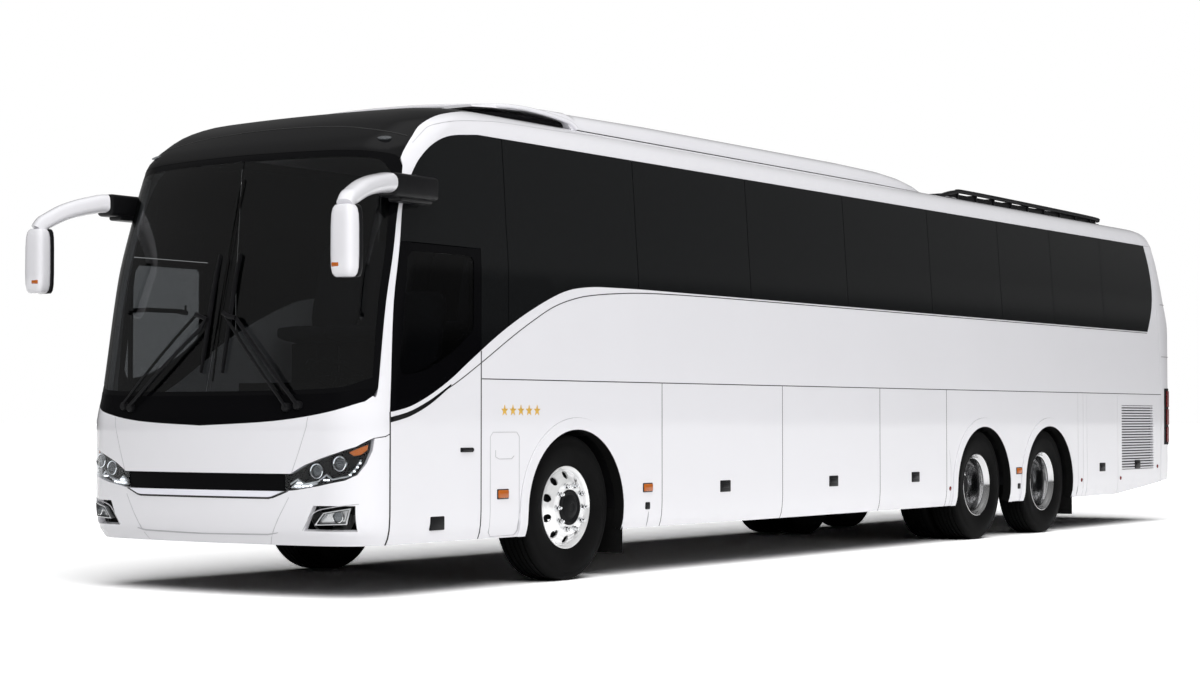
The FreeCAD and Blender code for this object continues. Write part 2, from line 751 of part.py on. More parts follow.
# ---------------------------------------------------------------- axles, knuckles and steering
fist_radius = 42
fist_half = 62              # half the height of the axle's fist, between the knuckle's two ears
ear_height = 28
kingpin_radius = 20
fist_sides = 12
beam_half = 45
up = Vector(0, 0, 1)
for side in (left_side, right_side):
    axis = Vector(side * kingpin_x, front_axle_y, tyre_radius)
    tip = Vector(side * (wheel_x + hub_ends["front"] - 2), front_axle_y, tyre_radius)
    ear_end = fist_half + ear_height
    parts = [rod(kingpin_radius, axis - up * ear_end, axis + up * ear_end)]
    for z0, z1 in ((fist_half + fit, ear_end), (-ear_end, -fist_half - fit)):
        parts.append(bar(fist_radius, axis + up * z0, axis + up * z1, fist_sides))
        parts.append(box(side * kingpin_x, side * (kingpin_x + 90), front_axle_y - 40, front_axle_y + 40,
                         tyre_radius + z0, tyre_radius + z1))
    parts.append(box(side * (kingpin_x + 52), side * (kingpin_x + 90), front_axle_y - 40,
                     front_axle_y + 40, tyre_radius - ear_end, tyre_radius + ear_end))
    parts.append(rod(spindle_radius, Vector(side * (kingpin_x + 60), front_axle_y, tyre_radius), tip))
    # the steering arm points rearwards from the lower ear
    parts.append(box(side * (kingpin_x - 15), side * (kingpin_x + 15), front_axle_y + 20,
                     front_axle_y + 190, tyre_radius - ear_end, tyre_radius - fist_half - fit))
    nodes["knuckle_" + side_names[side]] = fuse(parts)

rail_x = 430
rail_z0 = 640
rail_z1 = 760
beam_drop = 110
beam_z = tyre_radius - beam_drop
spring_radius = 60          # air springs stand between the axles and the rails
beam = [box(-rail_x - 120, rail_x + 120, front_axle_y - beam_half, front_axle_y + beam_half,
            beam_z - 45, beam_z + 45)]
for side in (left_side, right_side):
    axis = Vector(side * kingpin_x, front_axle_y, tyre_radius)
    beam.append(bar(fist_radius, axis - up * fist_half, axis + up * fist_half, fist_sides))
    beam.append(front_prism([
        (side * (rail_x + 100), beam_z - 45), (side * (kingpin_x - 20), tyre_radius - 50),
        (side * (kingpin_x - 20), tyre_radius + 45), (side * (kingpin_x - 90), tyre_radius + 45),
        (side * (rail_x + 100), beam_z + 45),
    ], front_axle_y - beam_half + 10, front_axle_y + beam_half - 10))
    for y in (-90, 90):
        beam.append(bar(spring_radius, Vector(side * rail_x, front_axle_y + y, beam_z - 20),
                        Vector(side * rail_x, front_axle_y + y, rail_z0)))
        beam.append(box(side * (rail_x - 60), side * (rail_x + 60), front_axle_y + y - 60,
                        front_axle_y + y + 60, beam_z - 30, beam_z + 30))
beam = fuse(beam)
for side in (left_side, right_side):
    axis = Vector(side * kingpin_x, front_axle_y, tyre_radius)
    ear_room = fist_radius + 6
    beam = beam.cut([
        bar(kingpin_radius + fit, axis - up * 200, axis + up * 200),
        bar(ear_room, axis + up * fist_half, axis + up * 200, fist_sides),
        bar(ear_room, axis - up * 200, axis - up * fist_half, fist_sides)])
nodes["front_axle"] = beam

axle_tube_radius = 75
differential_radius = 205
for axle, y, offsets, face_offset, hub_length in wheel_table[1:]:
    reach = wheel_x + hub_ends[axle] - 2
    inner = min(wheel_x - max(offsets) - half_tyre, wheel_x + face_offset - disc_thickness) - 20
    centre = Vector(0, y, tyre_radius)
    across = Vector(1, 0, 0)
    parts = [rod(spindle_radius, centre - across * reach, centre + across * reach),
             bar(axle_tube_radius, centre - across * inner, centre + across * inner)]
    if axle == "drive":
        along = Vector(0, 1, 0)
        parts.append(bar(differential_radius, centre - along * 110, centre + along * 110, fist_sides))
        parts.append(bar(90, centre, centre + along * 330))
    for side in (left_side, right_side):
        for step in (-150, 150):
            parts.append(bar(spring_radius, Vector(side * rail_x, y + step, tyre_radius - 40),
                             Vector(side * rail_x, y + step, rail_z0)))
        parts.append(box(side * (rail_x - 65), side * (rail_x + 65), y - 215, y + 215,
                         tyre_radius - 75, tyre_radius - 20))
    nodes[axle + "_axle"] = fuse(parts)

# ---------------------------------------------------------------- frame, floors and bays
bay_front_y = lid_table[0][1] - 30
bay_rear_y = lid_table[2][2] + 30
rail_half = 40
frame_front_y = nose_y + 250
frame_rear_y = tail_y - 260
engine_front_y = at_front(10250)
frame_parts = []
for side in (left_side, right_side):
    for y0, y1 in ((frame_front_y, bay_front_y), (bay_rear_y, frame_rear_y)):
        frame_parts.append(box(side * (rail_x - rail_half), side * (rail_x + rail_half), y0, y1,
                               rail_z0, rail_z1))
for y in (frame_front_y, at_front(-700), at_front(700), at_front(6300), at_front(7620),
          at_front(9200), frame_rear_y - 80):
    frame_parts.append(box(-rail_x, rail_x, y, y + 80, rail_z0, rail_z1))
for y in (frame_front_y, at_front(700), at_front(9200)):
    frame_parts.append(box(-half_width + wall, half_width - wall, y, y + 60, rail_z0 + 20, rail_z1))
nodes["chassis_frame"] = fuse(frame_parts).common(inner_form)

deck_front_y = at_front(-800)
deck_rear_y = tail_y - wall
slab = 60
cab_front_y = nose_y + 120
step_left_x = -560
nodes["floor"] = box(-half_width, half_width, deck_front_y, deck_rear_y,
                     deck_z - slab, deck_z).common(inner_form)

riser = 40
step_rear_y = deck_front_y + riser
step_front_y = door_front_y - 100
cab_parts = [
    box(-half_width, half_width, deck_front_y, step_rear_y, cab_floor_z - riser, deck_z - slab),
    box(step_left_x, half_width, cab_front_y, deck_front_y, cab_floor_z - riser, cab_floor_z),
    box(-half_width, step_left_x, deck_front_y, step_rear_y, skirt_z + 40, cab_floor_z),
    box(-half_width, step_left_x + 20, step_front_y, step_front_y + 20, skirt_z + 40, cab_floor_z),
]
tread_rise = (cab_floor_z - bay_floor_z) / 3
tread_edges = [-half_width, -900, -730, step_left_x]
for i in range(3):
    z = bay_floor_z + tread_rise * i
    cab_parts.append(box(tread_edges[i], tread_edges[i + 1], step_front_y, step_rear_y, z - riser, z))
    cab_parts.append(box(tread_edges[i + 1] - 20, tread_edges[i + 1], step_front_y, step_rear_y,
                         z - riser, z + tread_rise))
nodes["cab_floor"] = fuse(cab_parts).common(inner_form)

bay_parts = [box(-half_width + wall + 6, half_width - wall - 6, bay_front_y, bay_rear_y,
                 bay_floor_z - 40, bay_floor_z)]
for y in (bay_front_y, lid_table[1][1] - 15, lid_table[2][1] - 15, bay_rear_y - 30):
    bay_parts.append(box(-half_width + wall + 6, half_width - wall - 6, y, y + 30,
                         bay_floor_z - 40, deck_z - slab))
nodes["luggage_bay"] = fuse(bay_parts).common(body_form(wall + door_gap))

nodes["engine"] = box(-rail_x + rail_half, rail_x - rail_half, engine_front_y, at_front(11450),
                      rail_z0 - 60, rail_z1 + 540)


# ---------------------------------------------------------------- roof units
def rounded_plan(z, half, front, rear, radius, runs=3):
    """Closed plan section whose round corners are drawn in short straight runs."""
    points = []
    for cx, cy, start in ((half, rear, 0), (-half, rear, 1), (-half, front, 2), (half, front, 3)):
        mx, my = cx - math.copysign(radius, cx), cy + (radius if cy == front else -radius)
        for i in range(runs + 1):
            a = math.pi / 2 * (start + i / runs)
            points.append(Vector(mx + radius * math.cos(a), my + radius * math.sin(a), z))
    return points


def pod(sections):
    return stack([rounded_plan(*row) for row in sections]).cut(outer_form)


# height, half width, front, rear, corner radius
nodes["roof_air_unit"] = pod([
    (roof_z - 60, 1040, at_front(-800), at_front(6300), 260),
    (roof_z + 60, 985, at_front(-520), at_front(6140), 240),
    (roof_z + 120, 900, at_front(-100), at_front(5830), 200),
    (roof_z + 190, 620, at_front(400), at_front(5500), 150),
])

# The rear unit: a low tray with a fairing at each end, and a railed rack between them.
rack_front_y, rack_rear_y = at_front(7000), at_front(10900)
rack_half = 860
rack_top_z = roof_z + 130
rack_posts = 5
tray = pod([
    (roof_z - 40, 900, rack_front_y - 100, rack_rear_y + 100, 120),
    (roof_z + 30, 880, rack_front_y, rack_rear_y, 120),
])
fairings = [pod([
    (roof_z - 40, 900, y - 130, y + 130, 120),
    (roof_z + 90, 860, y - 90, y + 90, 80),
    (rack_top_z, 800, y - 50, y + 50, 45),
]) for y in (rack_front_y + 100, rack_rear_y - 100)]
rack = []
for side in (left_side, right_side):
    x = side * rack_half
    rack.append(box(x - 15, x + 15, rack_front_y + 100, rack_rear_y - 100, rack_top_z - 30, rack_top_z - 8))
    for i in range(1, rack_posts + 1):
        y = rack_front_y + 100 + (rack_rear_y - rack_front_y - 200) * i / (rack_posts + 1)
        rack.append(box(x - 15, x + 15, y - 18, y + 18, roof_z + 10, rack_top_z - 8))
for i in range(1, rack_posts + 1):
    y = rack_front_y + 100 + (rack_rear_y - rack_front_y - 200) * i / (rack_posts + 1)
    rack.append(box(-rack_half, rack_half, y - 18, y + 18, rack_top_z - 30, rack_top_z - 8))
nodes["roof_rear_unit"] = fuse([tray] + fairings + rack)

# ---------------------------------------------------------------- lamps and grille
lamp_face = [
    (640, 700), (760, 740), (1010, 830), (1110, 870), (1290, 900), (1290, 1055),
    (1200, 1020), (1010, 945), (860, 850), (700, 815),
]
lamp_depth_y = door_front_y - 2 * hinge_gap
fog_low_z, fog_top_z = 465, 590
fog_inner_x, fog_outer_x = 915, 1150
lens_prisms = []
for side in (left_side, right_side):
    prism = front_prism(lamp_face, nose_y - 50, lamp_depth_y)
    lens_prisms.append(on_side(side, prism))
lamp_form = body_form(40)
lamp_skin = outer_form.cut(lamp_form)
lenses = [lamp_skin.common(prism) for prism in lens_prisms]
for side in (left_side, right_side):
    pocket = front_prism([
        (fog_inner_x - 90, fog_low_z - 30), (fog_outer_x + 20, fog_low_z - 30),
        (fog_outer_x + 20, fog_top_z + 20), (fog_inner_x - 20, fog_top_z + 20),
    ], nose_y - 50, lamp_depth_y)
    fog = front_prism([
        (fog_inner_x, fog_low_z), (fog_outer_x, fog_low_z), (fog_outer_x, fog_top_z), (fog_inner_x, fog_top_z),
    ], nose_y - 50, lamp_depth_y)
    recess = skin.common(on_side(side, pocket))
    fog_lens = lamp_skin.common(on_side(side, fog)).cut(recess)
    nodes["front_bumper"] = nodes["front_bumper"].cut([recess, fog_lens])
    lenses.append(fog_lens)
nodes["headlamps"] = Part.makeCompound(lenses)

# The towing eye screws into a socket behind the bumper's right half.
tow_x = -480
tow_z = 520
tow_bore_radius = 16
tow_start = Vector(tow_x, nose_y + 30, tow_z)
tow_end = tow_start + Vector(0, 160, 0)
socket = bar(34, tow_start, tow_end).fuse(bar(60, tow_end - Vector(0, 12, 0), tow_end))
socket = socket.common(outer_form)
tow_bore = rod(tow_bore_radius, tow_start - Vector(0, 200, 0), tow_end - Vector(0, 30, 0))
nodes["front_bumper"] = nodes["front_bumper"].fuse(socket).cut(tow_bore)
grille_prism = front_prism([(-700, 700), (700, 700), (700, 790), (-700, 790)], nose_y - 50, nose_y + 300)
grille = lamp_skin.common(grille_prism).cut(lens_prisms)
nodes["grille_strip"] = grille
nodes["front_panel"] = nodes["front_panel"].cut([lamp_skin.common(p) for p in lens_prisms] + [grille])

tail_lamp_prism = side_prism([
    (at_front(11760), 880), (at_front(11760), 1490), (tail_y + 50, 1490), (tail_y + 50, 880),
], -body_width, body_width)
tail_lamp_block = box(-1020, 1020, tail_y - 600, tail_y + 100, 800, 1600)
tail_lamps = lamp_skin.common(tail_lamp_prism).cut(tail_lamp_block)
nodes["tail_lamps"] = tail_lamps
nodes["rear_panel"] = nodes["rear_panel"].cut(tail_lamps)

# ---------------------------------------------------------------- mirrors and wipers
mirror_x = half_width + 225
mirror_front_y = nose_y - mirror_reach
head_low_z = 2010
head_top_z = 2480
arm_radius = 42
mirror_foot_y = at_front(-1850)
# height, half width, set-back of the front, set-back of the rear
head_rows = [
    (head_low_z, 70, 60, 60), (head_low_z + 50, 95, 12, 20), (head_low_z + 230, 100, 0, 0),
    (head_top_z - 70, 92, 12, 30), (head_top_z, 62, 60, 120),
]
mirrors = []
for side in (left_side, right_side):
    head = stack([
        rounded_plan(z, half, mirror_front_y + front, mirror_front_y + 330 - rear, 45, 2)
        for z, half, front, rear in head_rows])
    head.translate(Vector(mirror_x, 0, 0))
    # the arm leaves the pillar, sweeps forwards past the nose and drops into the head
    path = [Vector(half_width - 90, mirror_foot_y, 2655), Vector(half_width + 90, mirror_foot_y - 170, 2700),
            Vector(mirror_x - 20, mirror_front_y + 420, 2705), Vector(mirror_x, mirror_front_y + 210, 2640),
            Vector(mirror_x, mirror_front_y + 165, head_top_z - 40)]
    parts = [head]
    for start, end in zip(path, path[1:]):
        run = (end - start).normalize() * (arm_radius * 0.4)
        parts.append(bar(arm_radius, start, end + run, 6))
    parts.append(box(half_width - 120, half_width + 45, mirror_foot_y - 70, mirror_foot_y + 170, 2570, 2735))
    mirrors.append(on_side(side, fuse(parts).cut(outer_form)))
nodes["mirrors"] = Part.makeCompound(mirrors)

wiper_foot_z = 1200
wiper_tip_z = 1240
wiper_parts = []
for side in (left_side, right_side):
    foot = Vector(side * 730, nose_y - 14, wiper_foot_z)
    spindle = bar(24, Vector(side * 730, nose_y + 160, wiper_foot_z), foot - Vector(0, 12, 0))
    arm = bar(9, foot, Vector(side * 120, nose_y - 14, wiper_tip_z), 4)
    blade = bar(7, Vector(side * 640, nose_y - 24, wiper_tip_z + 22), Vector(side * 90, nose_y - 24, wiper_tip_z + 30), 4)
    clip = box(side * 300, side * 340, nose_y - 31, nose_y - 8, wiper_tip_z - 30, wiper_tip_z + 34)
    wiper_parts.append(fuse([spindle, arm, blade, clip]).cut(outer_form))
nodes["wipers"] = Part.makeCompound(wiper_parts)

# ---------------------------------------------------------------- cab and cabin
dash_steps = [
    (nose_y + 140, cab_floor_z), (nose_y + 140, 1240), (nose_y + 520, 1290),
    (nose_y + 600, 1180), (nose_y + 480, cab_floor_z),
]
dash = side_prism(dash_steps, -700, half_width - wall - 40)
nodes["dashboard"] = dash.common(inner_form)

steering_x = 640
wheel_tilt = math.radians(28)
column = Vector(0, math.sin(wheel_tilt), math.cos(wheel_tilt))
column_foot = Vector(steering_x, nose_y + 500, 1150)
wheel_middle = column_foot + column * 330
steering_radius = 235
rim_half = 14
outer_rim = bar(steering_radius, wheel_middle - column * rim_half, wheel_middle + column * rim_half, 20)
inner_rim = bar(steering_radius - 2 * rim_half, wheel_middle - column * 20, wheel_middle + column * 20, 20)
spoke_start = wheel_middle - column * 6
spokes = [bar(12, spoke_start, spoke_start + direction * (steering_radius - rim_half), 6)
          for direction in (Vector(1, 0, 0), Vector(-1, 0, 0), column.cross(Vector(1, 0, 0)))]
shaft = rod(20, column_foot, wheel_middle)
hub = bar(55, wheel_middle - column * 25, wheel_middle + column * 5, 12)
nodes["steering_wheel"] = fuse([outer_rim.cut(inner_rim), shaft, hub] + spokes)
nodes["dashboard"] = nodes["dashboard"].cut(bar(20 + fit, column_foot - column * 5, wheel_middle))


def seat(x0, x1, y, z):
    """Leg, cushion and back of one seat, each drawn from the side; y is the front of the cushion."""
    leg = [(y + 120, z), (y + 380, z), (y + 380, z + 300), (y + 120, z + 300)]
    cushion = [(y + 15, z + 300), (y + 480, z + 300), (y + 430, z + 400), (y, z + 430)]
    back = [(y + 480, z + 300), (y + 540, z + 300), (y + 690, z + 1120), (y + 590, z + 1120),
            (y + 430, z + 400)]
    return [side_prism(steps, x0, x1) for steps in (leg, cushion, back)]


seat_pitch = 800
seat_rows = 13
driver_seat = seat(steering_x - 250, steering_x + 250, at_front(-1560), cab_floor_z)
nodes["driver_seat"] = Part.makeCompound(driver_seat)
seats = []
for side in (left_side, right_side):
    for i in range(seat_rows):
        seats += seat(side * 240, side * 1180, deck_front_y + 300 + i * seat_pitch, deck_z)
nodes["seats"] = Part.makeCompound(seats)

# ---------------------------------------------------------------- wheel boxes and mudflaps
liner_radius = 620
liner_thickness = 6
liner_sides = 16
liner_inner_x = 600
liner_form = body_form(wall + fit)
liners = []
for y in axle_places:
    for side in (left_side, right_side):
        start = Vector(side * liner_inner_x, y + arch_shift, arch_z)
        end = Vector(side * half_width, y + arch_shift, arch_z)
        arch = bar(liner_radius + liner_thickness, start, end, liner_sides)
        arch = arch.cut(bar(liner_radius, start, end, liner_sides))
        below = box(side * 500, side * body_width, y - 1000, y + 1000, arch_z - 1000, arch_z)
        liners.append(arch.cut(below).common(liner_form))
nodes["wheel_boxes"] = Part.makeCompound(liners)

flaps = []
for side in (left_side, right_side):
    for y in (front_axle_y, tag_axle_y):
        flap_y = y + arch_shift + liner_radius + liner_thickness + fit
        flaps.append(box(side * (wheel_x - 170), side * half_width, flap_y, flap_y + 12, 250, 700))
nodes["mudflaps"] = Part.makeCompound([flap.common(liner_form) for flap in flaps])

for name in sorted(nodes):
    shape = nodes[name]
    shape.exportStep("parts/" + name + ".step")
    print(name, len(shape.Solids), round(shape.Volume / 1e6, 2), shape.isValid())
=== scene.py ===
import bmesh
import bpy
import json
import math
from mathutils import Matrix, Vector
from mathutils.geometry import delaunay_2d_cdt
from mathutils.kdtree import KDTree


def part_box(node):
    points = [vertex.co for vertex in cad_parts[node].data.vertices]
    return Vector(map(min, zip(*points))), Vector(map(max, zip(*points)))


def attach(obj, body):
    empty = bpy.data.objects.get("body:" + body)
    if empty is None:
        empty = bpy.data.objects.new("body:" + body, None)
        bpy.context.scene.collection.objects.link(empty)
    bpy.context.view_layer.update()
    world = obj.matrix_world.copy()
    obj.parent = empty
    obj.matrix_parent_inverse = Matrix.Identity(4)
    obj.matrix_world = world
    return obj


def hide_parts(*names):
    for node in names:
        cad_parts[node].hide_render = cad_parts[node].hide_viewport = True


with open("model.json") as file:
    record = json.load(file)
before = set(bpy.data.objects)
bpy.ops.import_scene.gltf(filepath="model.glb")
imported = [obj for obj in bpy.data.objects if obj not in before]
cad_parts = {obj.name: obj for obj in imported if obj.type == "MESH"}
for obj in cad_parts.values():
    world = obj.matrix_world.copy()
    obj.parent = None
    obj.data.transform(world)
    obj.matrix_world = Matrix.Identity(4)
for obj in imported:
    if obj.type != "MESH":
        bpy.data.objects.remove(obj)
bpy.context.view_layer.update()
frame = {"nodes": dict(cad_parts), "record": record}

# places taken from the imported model, in metres
halfWidth = 1.275
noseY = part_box("front_bumper")[0].y
axleY = sum(corner.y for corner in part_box("tyre_front_left")) / 2
driveY = sum(corner.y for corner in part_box("tyre_drive_left")) / 2
tagY = sum(corner.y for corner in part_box("tyre_tag_left")) / 2
tailY = noseY + 14.42
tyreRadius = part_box("tyre_front_left")[1].z / 2
gutterZ, skirtZ, lidTopZ, windowZ = 3.09, 0.34, 1.425, 2.12
left, right = 1, -1


# rows given in millimetres, as metres
def mm(*rows):
    return [tuple(value / 1000 for value in row) for row in rows]


# a new node with some of its sockets set, wired up from other sockets
def added(tree, kind, values=(), wires=(), operation=None):
    node = tree.nodes.new("ShaderNode" + kind)
    if operation:
        node.operation = operation
    for socket, value in dict(values).items():
        node.inputs[socket].default_value = value
    for socket, source in dict(wires).items():
        tree.links.new(source, node.inputs[socket])
    return node


def nodeMaterial(name, base, rough=0.5, metal=0.0, **sockets):
    material = bpy.data.materials.new(name)
    material.use_nodes = True
    shader = material.node_tree.nodes["Principled BSDF"]
    shader.inputs["Base Color"].default_value = (*base, 1)
    shader.inputs["Roughness"].default_value = rough
    shader.inputs["Metallic"].default_value = metal
    for key, value in sockets.items():
        shader.inputs[key.replace("_", " ")].default_value = value
    material.diffuse_color = (*base, 1)
    return material, material.node_tree, shader


def noise(tree, scale, detail=4.0):
    coords = added(tree, "TexCoord")
    values = {"Scale": scale, "Detail": detail}
    return added(tree, "TexNoise", values, {"Vector": coords.outputs["Object"]}).outputs["Fac"]


def ranged(tree, source, low, high, target):
    span = added(tree, "MapRange", {"To Min": low, "To Max": high}, {"Value": source})
    tree.links.new(span.outputs["Result"], target)


def bumped(tree, shader, source, strength, distance):
    bump = added(tree, "Bump", {"Strength": strength, "Distance": distance}, {"Height": source})
    tree.links.new(bump.outputs["Normal"], shader.inputs["Normal"])


def tinted(tree, shader, source, dark, light):
    ramp = added(tree, "ValToRGB", (), {"Fac": source})
    for element, tint in zip(ramp.color_ramp.elements, (dark, light)):
        element.color = (*tint, 1)
    tree.links.new(ramp.outputs["Color"], shader.inputs["Base Color"])


def paintMaterial(name, dark, light, rough):
    material, tree, shader = nodeMaterial(name, light, rough[0], Coat_Weight=0.6, Coat_Roughness=0.04)
    tinted(tree, shader, noise(tree, 0.7), dark, light)
    ranged(tree, noise(tree, 9.0), *rough, shader.inputs["Roughness"])
    bumped(tree, shader, noise(tree, 260.0, 2.0), 0.02, 0.001)
    return material


# dark glass: a share of what is behind shows through, tinted, and more is mirrored at grazing angles
def glassMaterial(name, base, share, tint, rough, ior=1.5, top=1.0):
    material, tree, shader = nodeMaterial(name, base, Specular_IOR_Level=0.0)
    clear = added(tree, "BsdfTransparent", {"Color": (*tint, 1)})
    blend = added(tree, "MixShader", {"Fac": share}, {1: shader.outputs["BSDF"], 2: clear.outputs["BSDF"]})
    gloss = added(tree, "BsdfGlossy")
    ranged(tree, noise(tree, 1.4), rough, rough + 0.015, gloss.inputs["Roughness"])
    layer = added(tree, "LayerWeight", {"Blend": 0.5})
    power = added(tree, "Math", {1: 5.0}, {0: layer.outputs["Facing"]}, "POWER")
    least = ((ior - 1) / (ior + 1)) ** 2
    grazing = added(tree, "Math", {1: top - least, 2: least}, {0: power.outputs["Value"]}, "MULTIPLY_ADD")
    face = added(tree, "MixShader", (), {"Fac": grazing.outputs["Value"], 1: blend.outputs["Shader"],
                                         2: gloss.outputs["BSDF"]})
    tree.links.new(face.outputs["Shader"], tree.nodes["Material Output"].inputs["Surface"])
    return material


def grainMaterial(name, dark, light, rough, scale=90.0, depth=0.0006, metal=0.0, strength=0.25, shine=0.5):
    material, tree, shader = nodeMaterial(name, light, rough, metal, Specular_IOR_Level=shine)
    tinted(tree, shader, noise(tree, scale * 0.1), dark, light)
    ranged(tree, noise(tree, scale * 0.3), rough - 0.06, rough + 0.08, shader.inputs["Roughness"])
    bumped(tree, shader, noise(tree, scale), strength, depth)
    return material


def glowMaterial(name, base, strength):
    material, tree, shader = nodeMaterial(name, base, 0.2, Emission_Color=(*base, 1),
                                          Emission_Strength=strength)
    ranged(tree, noise(tree, 40.0), 0.12, 0.24, shader.inputs["Roughness"])
    return material


def grey(value):
    return (value, value, value)


whitePaint = paintMaterial("white_coachwork", (0.775, 0.77, 0.8), (0.815, 0.81, 0.845), (0.22, 0.28))
blackPaint = glassMaterial("black_coachwork", (0.004, 0.004, 0.0045), 0.0, grey(0.1), 0.08, 1.45, 0.42)
blackSatin = glassMaterial("black_satin", (0.003, 0.003, 0.0035), 0.0, grey(0.1), 0.25, 1.12, 0.35)
sideGlass = glassMaterial("side_glass_black", (0.0045, 0.005, 0.0055), 0.04, (0.35, 0.38, 0.4), 0.03)
doorGlass = glassMaterial("door_glass_tint", (0.003, 0.003, 0.0035), 0.93, (0.56, 0.57, 0.58), 0.02, 1.4)
screenGlass = glassMaterial("windscreen_tint", (0.004, 0.0044, 0.005), 0.94, (0.5, 0.51, 0.515), 0.02)
fritGlass = glassMaterial("glass_border", (0.002, 0.002, 0.0025), 0.0, grey(0.1), 0.04, 1.3, 0.6)
clearCover = glassMaterial("lamp_cover", (0.02, 0.02, 0.022), 0.99, (0.97, 0.98, 0.99), 0.02, 1.25)
lensGlass = glassMaterial("lamp_lens", (0.16, 0.17, 0.18), 0.45, (0.75, 0.78, 0.8), 0.03)
brightTrim = paintMaterial("bright_bar", (0.8, 0.8, 0.88), (0.84, 0.84, 0.92), (0.12, 0.16))
blackPlastic = grainMaterial("moulded_black", (0.004, 0.004, 0.0045), (0.008, 0.008, 0.009), 0.38, shine=0.14)
rubber = grainMaterial("black_rubber", grey(0.004), grey(0.008), 0.62, 60.0, 0.001, shine=0.05)
tyreRubber = grainMaterial("tyre_rubber", grey(0.0035), (0.007, 0.007, 0.0072), 0.6, 45.0, 0.0015, shine=0.03)
blackSteel = grainMaterial("black_steel", (0.005, 0.005, 0.0055), (0.01, 0.01, 0.011), 0.5, 30.0, 0.001,
                           shine=0.1)
castIron = grainMaterial("cast_iron", (0.03, 0.03, 0.033), (0.07, 0.068, 0.066), 0.62, 70.0, 0.0015, 0.3)
alloy = grainMaterial("polished_alloy", (0.84, 0.84, 0.845), (0.93, 0.93, 0.935), 0.17, 60.0, 0.0002, 0.42,
                      0.08)
# a darker, fully metallic copy of the polished alloy for the rear wheels: the darker colour is painted shade
# in their deep dishes
shadedDishAlloy = grainMaterial("dished_alloy_painted_shade", (0.5, 0.5, 0.505), (0.62, 0.62, 0.625), 0.15, 60.0, 0.0002, 1.0,
                          0.08)
chrome = grainMaterial("chrome_trim", (0.72, 0.73, 0.74), (0.86, 0.87, 0.88), 0.1, 50.0, 0.0001, 1.0, 0.05)
silver = grainMaterial("silver_trim", (0.42, 0.43, 0.44), (0.56, 0.57, 0.58), 0.28, 50.0, 0.0002, 0.9, 0.05)
floorPanel = grainMaterial("deck_panel", (0.012, 0.012, 0.012), (0.024, 0.023, 0.022), 0.6, 25.0, 0.0006)
fabric = grainMaterial("seat_cloth", (0.012, 0.013, 0.017), (0.03, 0.032, 0.042), 0.85, 420.0, 0.0015, 0.0,
                       0.5)
seamLine = grainMaterial("panel_gap", grey(0.008), grey(0.02), 0.7)
# pale grey lines: real joints between panels, and painted shade along the creases of the panels
paleJointAndCreaseShade = grainMaterial("pale_joint_and_crease_shade", (0.4, 0.4, 0.42), (0.5, 0.5, 0.52), 0.6)
amber = glowMaterial("amber_lens", (0.42, 0.1, 0.008), 0.06)
redLens = glowMaterial("red_lens", (0.16, 0.006, 0.006), 0.02)
whiteLed = glowMaterial("white_led", (0.95, 0.97, 1.0), 1.2)
gold = grainMaterial("gold_star", (0.62, 0.36, 0.05), (0.8, 0.5, 0.09), 0.35, 60.0, 0.0003, 0.3)
print("materials ready")

cadFinish = {
    "white_paint": whitePaint, "dark_glass": sideGlass, "clear_glass": doorGlass, "lamp_glass": clearCover,
    "red_lens": redLens, "black_plastic": blackPlastic, "black_rubber": rubber, "black_steel": blackSteel,
    "cast_iron": castIron, "polished_alloy": alloy, "tyre": tyreRubber, "seat_fabric": fabric,
    "floor_panel": floorPanel,
}
nodeSlot = {row["node"]: row["material_slot"] for row in frame["record"]["subparts"]}
for node, obj in frame["nodes"].items():
    obj.data.materials.clear()
    obj.data.materials.append(cadFinish[nodeSlot[node]])

# body form
# height, tuck of each side, set-back of the nose, set-back of the tail
bodyRows = mm((340, 30, 70, 40), (420, 7, 25, 20), (550, 0, 5, 10), (1110, 0, 0, 0), (1310, 0, 45, 0),
              (2120, 0, 190, 0), (2520, 24, 295, 95), (2920, 50, 425, 240), (3000, 56, 500, 290),
              (3090, 63, 625, 350), (3150, 75, 720, 395), (3205, 105, 840, 445), (3252, 165, 980, 540),
              (3285, 275, 1160, 700), (3300, 395, 1360, 860))
bowRadius, cornerRadius, tailRadius = 5.0, 0.35, 0.18
rowParam = [0.0]
for low, high in zip(bodyRows, bodyRows[1:]):
    rowParam.append(rowParam[-1] + math.dist(low[:2], high[:2]) + 0.1 * abs(high[2] - low[2]))
topParam = rowParam[-1]


# monotone slopes of one column over the rows
def slopes(values):
    steps = [(b - a) / (q - p) for a, b, p, q in zip(values, values[1:], rowParam, rowParam[1:])]
    result = [steps[0]]
    for before, after in zip(steps, steps[1:]):
        result.append(0.0 if before * after <= 0 else 2 * before * after / (before + after))
    return result + [steps[-1]]


columns = [[row[i] for row in bodyRows] for i in range(4)]
columnSlopes = [slopes(column) for column in columns]


def sectionAt(v):
    v = min(max(v, 0.0), topParam)
    k = max(i for i in range(len(rowParam) - 1) if rowParam[i] <= v)
    h = rowParam[k + 1] - rowParam[k]
    t = (v - rowParam[k]) / h
    out = []
    for column, slope in zip(columns, columnSlopes):
        out.append(column[k] * (1 + 2 * t) * (1 - t) ** 2 + slope[k] * h * t * (1 - t) ** 2
                   + column[k + 1] * t * t * (3 - 2 * t) + slope[k + 1] * h * t * t * (t - 1))
    return out


def paramAt(z):
    low, high = 0.0, topParam
    for _ in range(30):
        middle = (low + high) / 2
        if sectionAt(middle)[0] < z:
            low = middle
        else:
            high = middle
    return (low + high) / 2


def planFacts(v):
    z, tuck, nose, tail = sectionAt(v)
    half, front, rear = halfWidth - tuck, noseY + nose, tailY - tail
    cx = half - cornerRadius
    lean = math.asin(cx / (bowRadius - cornerRadius))
    cy = front + bowRadius - (bowRadius - cornerRadius) * math.cos(lean)
    return z, half, front, rear, cx, cy, lean


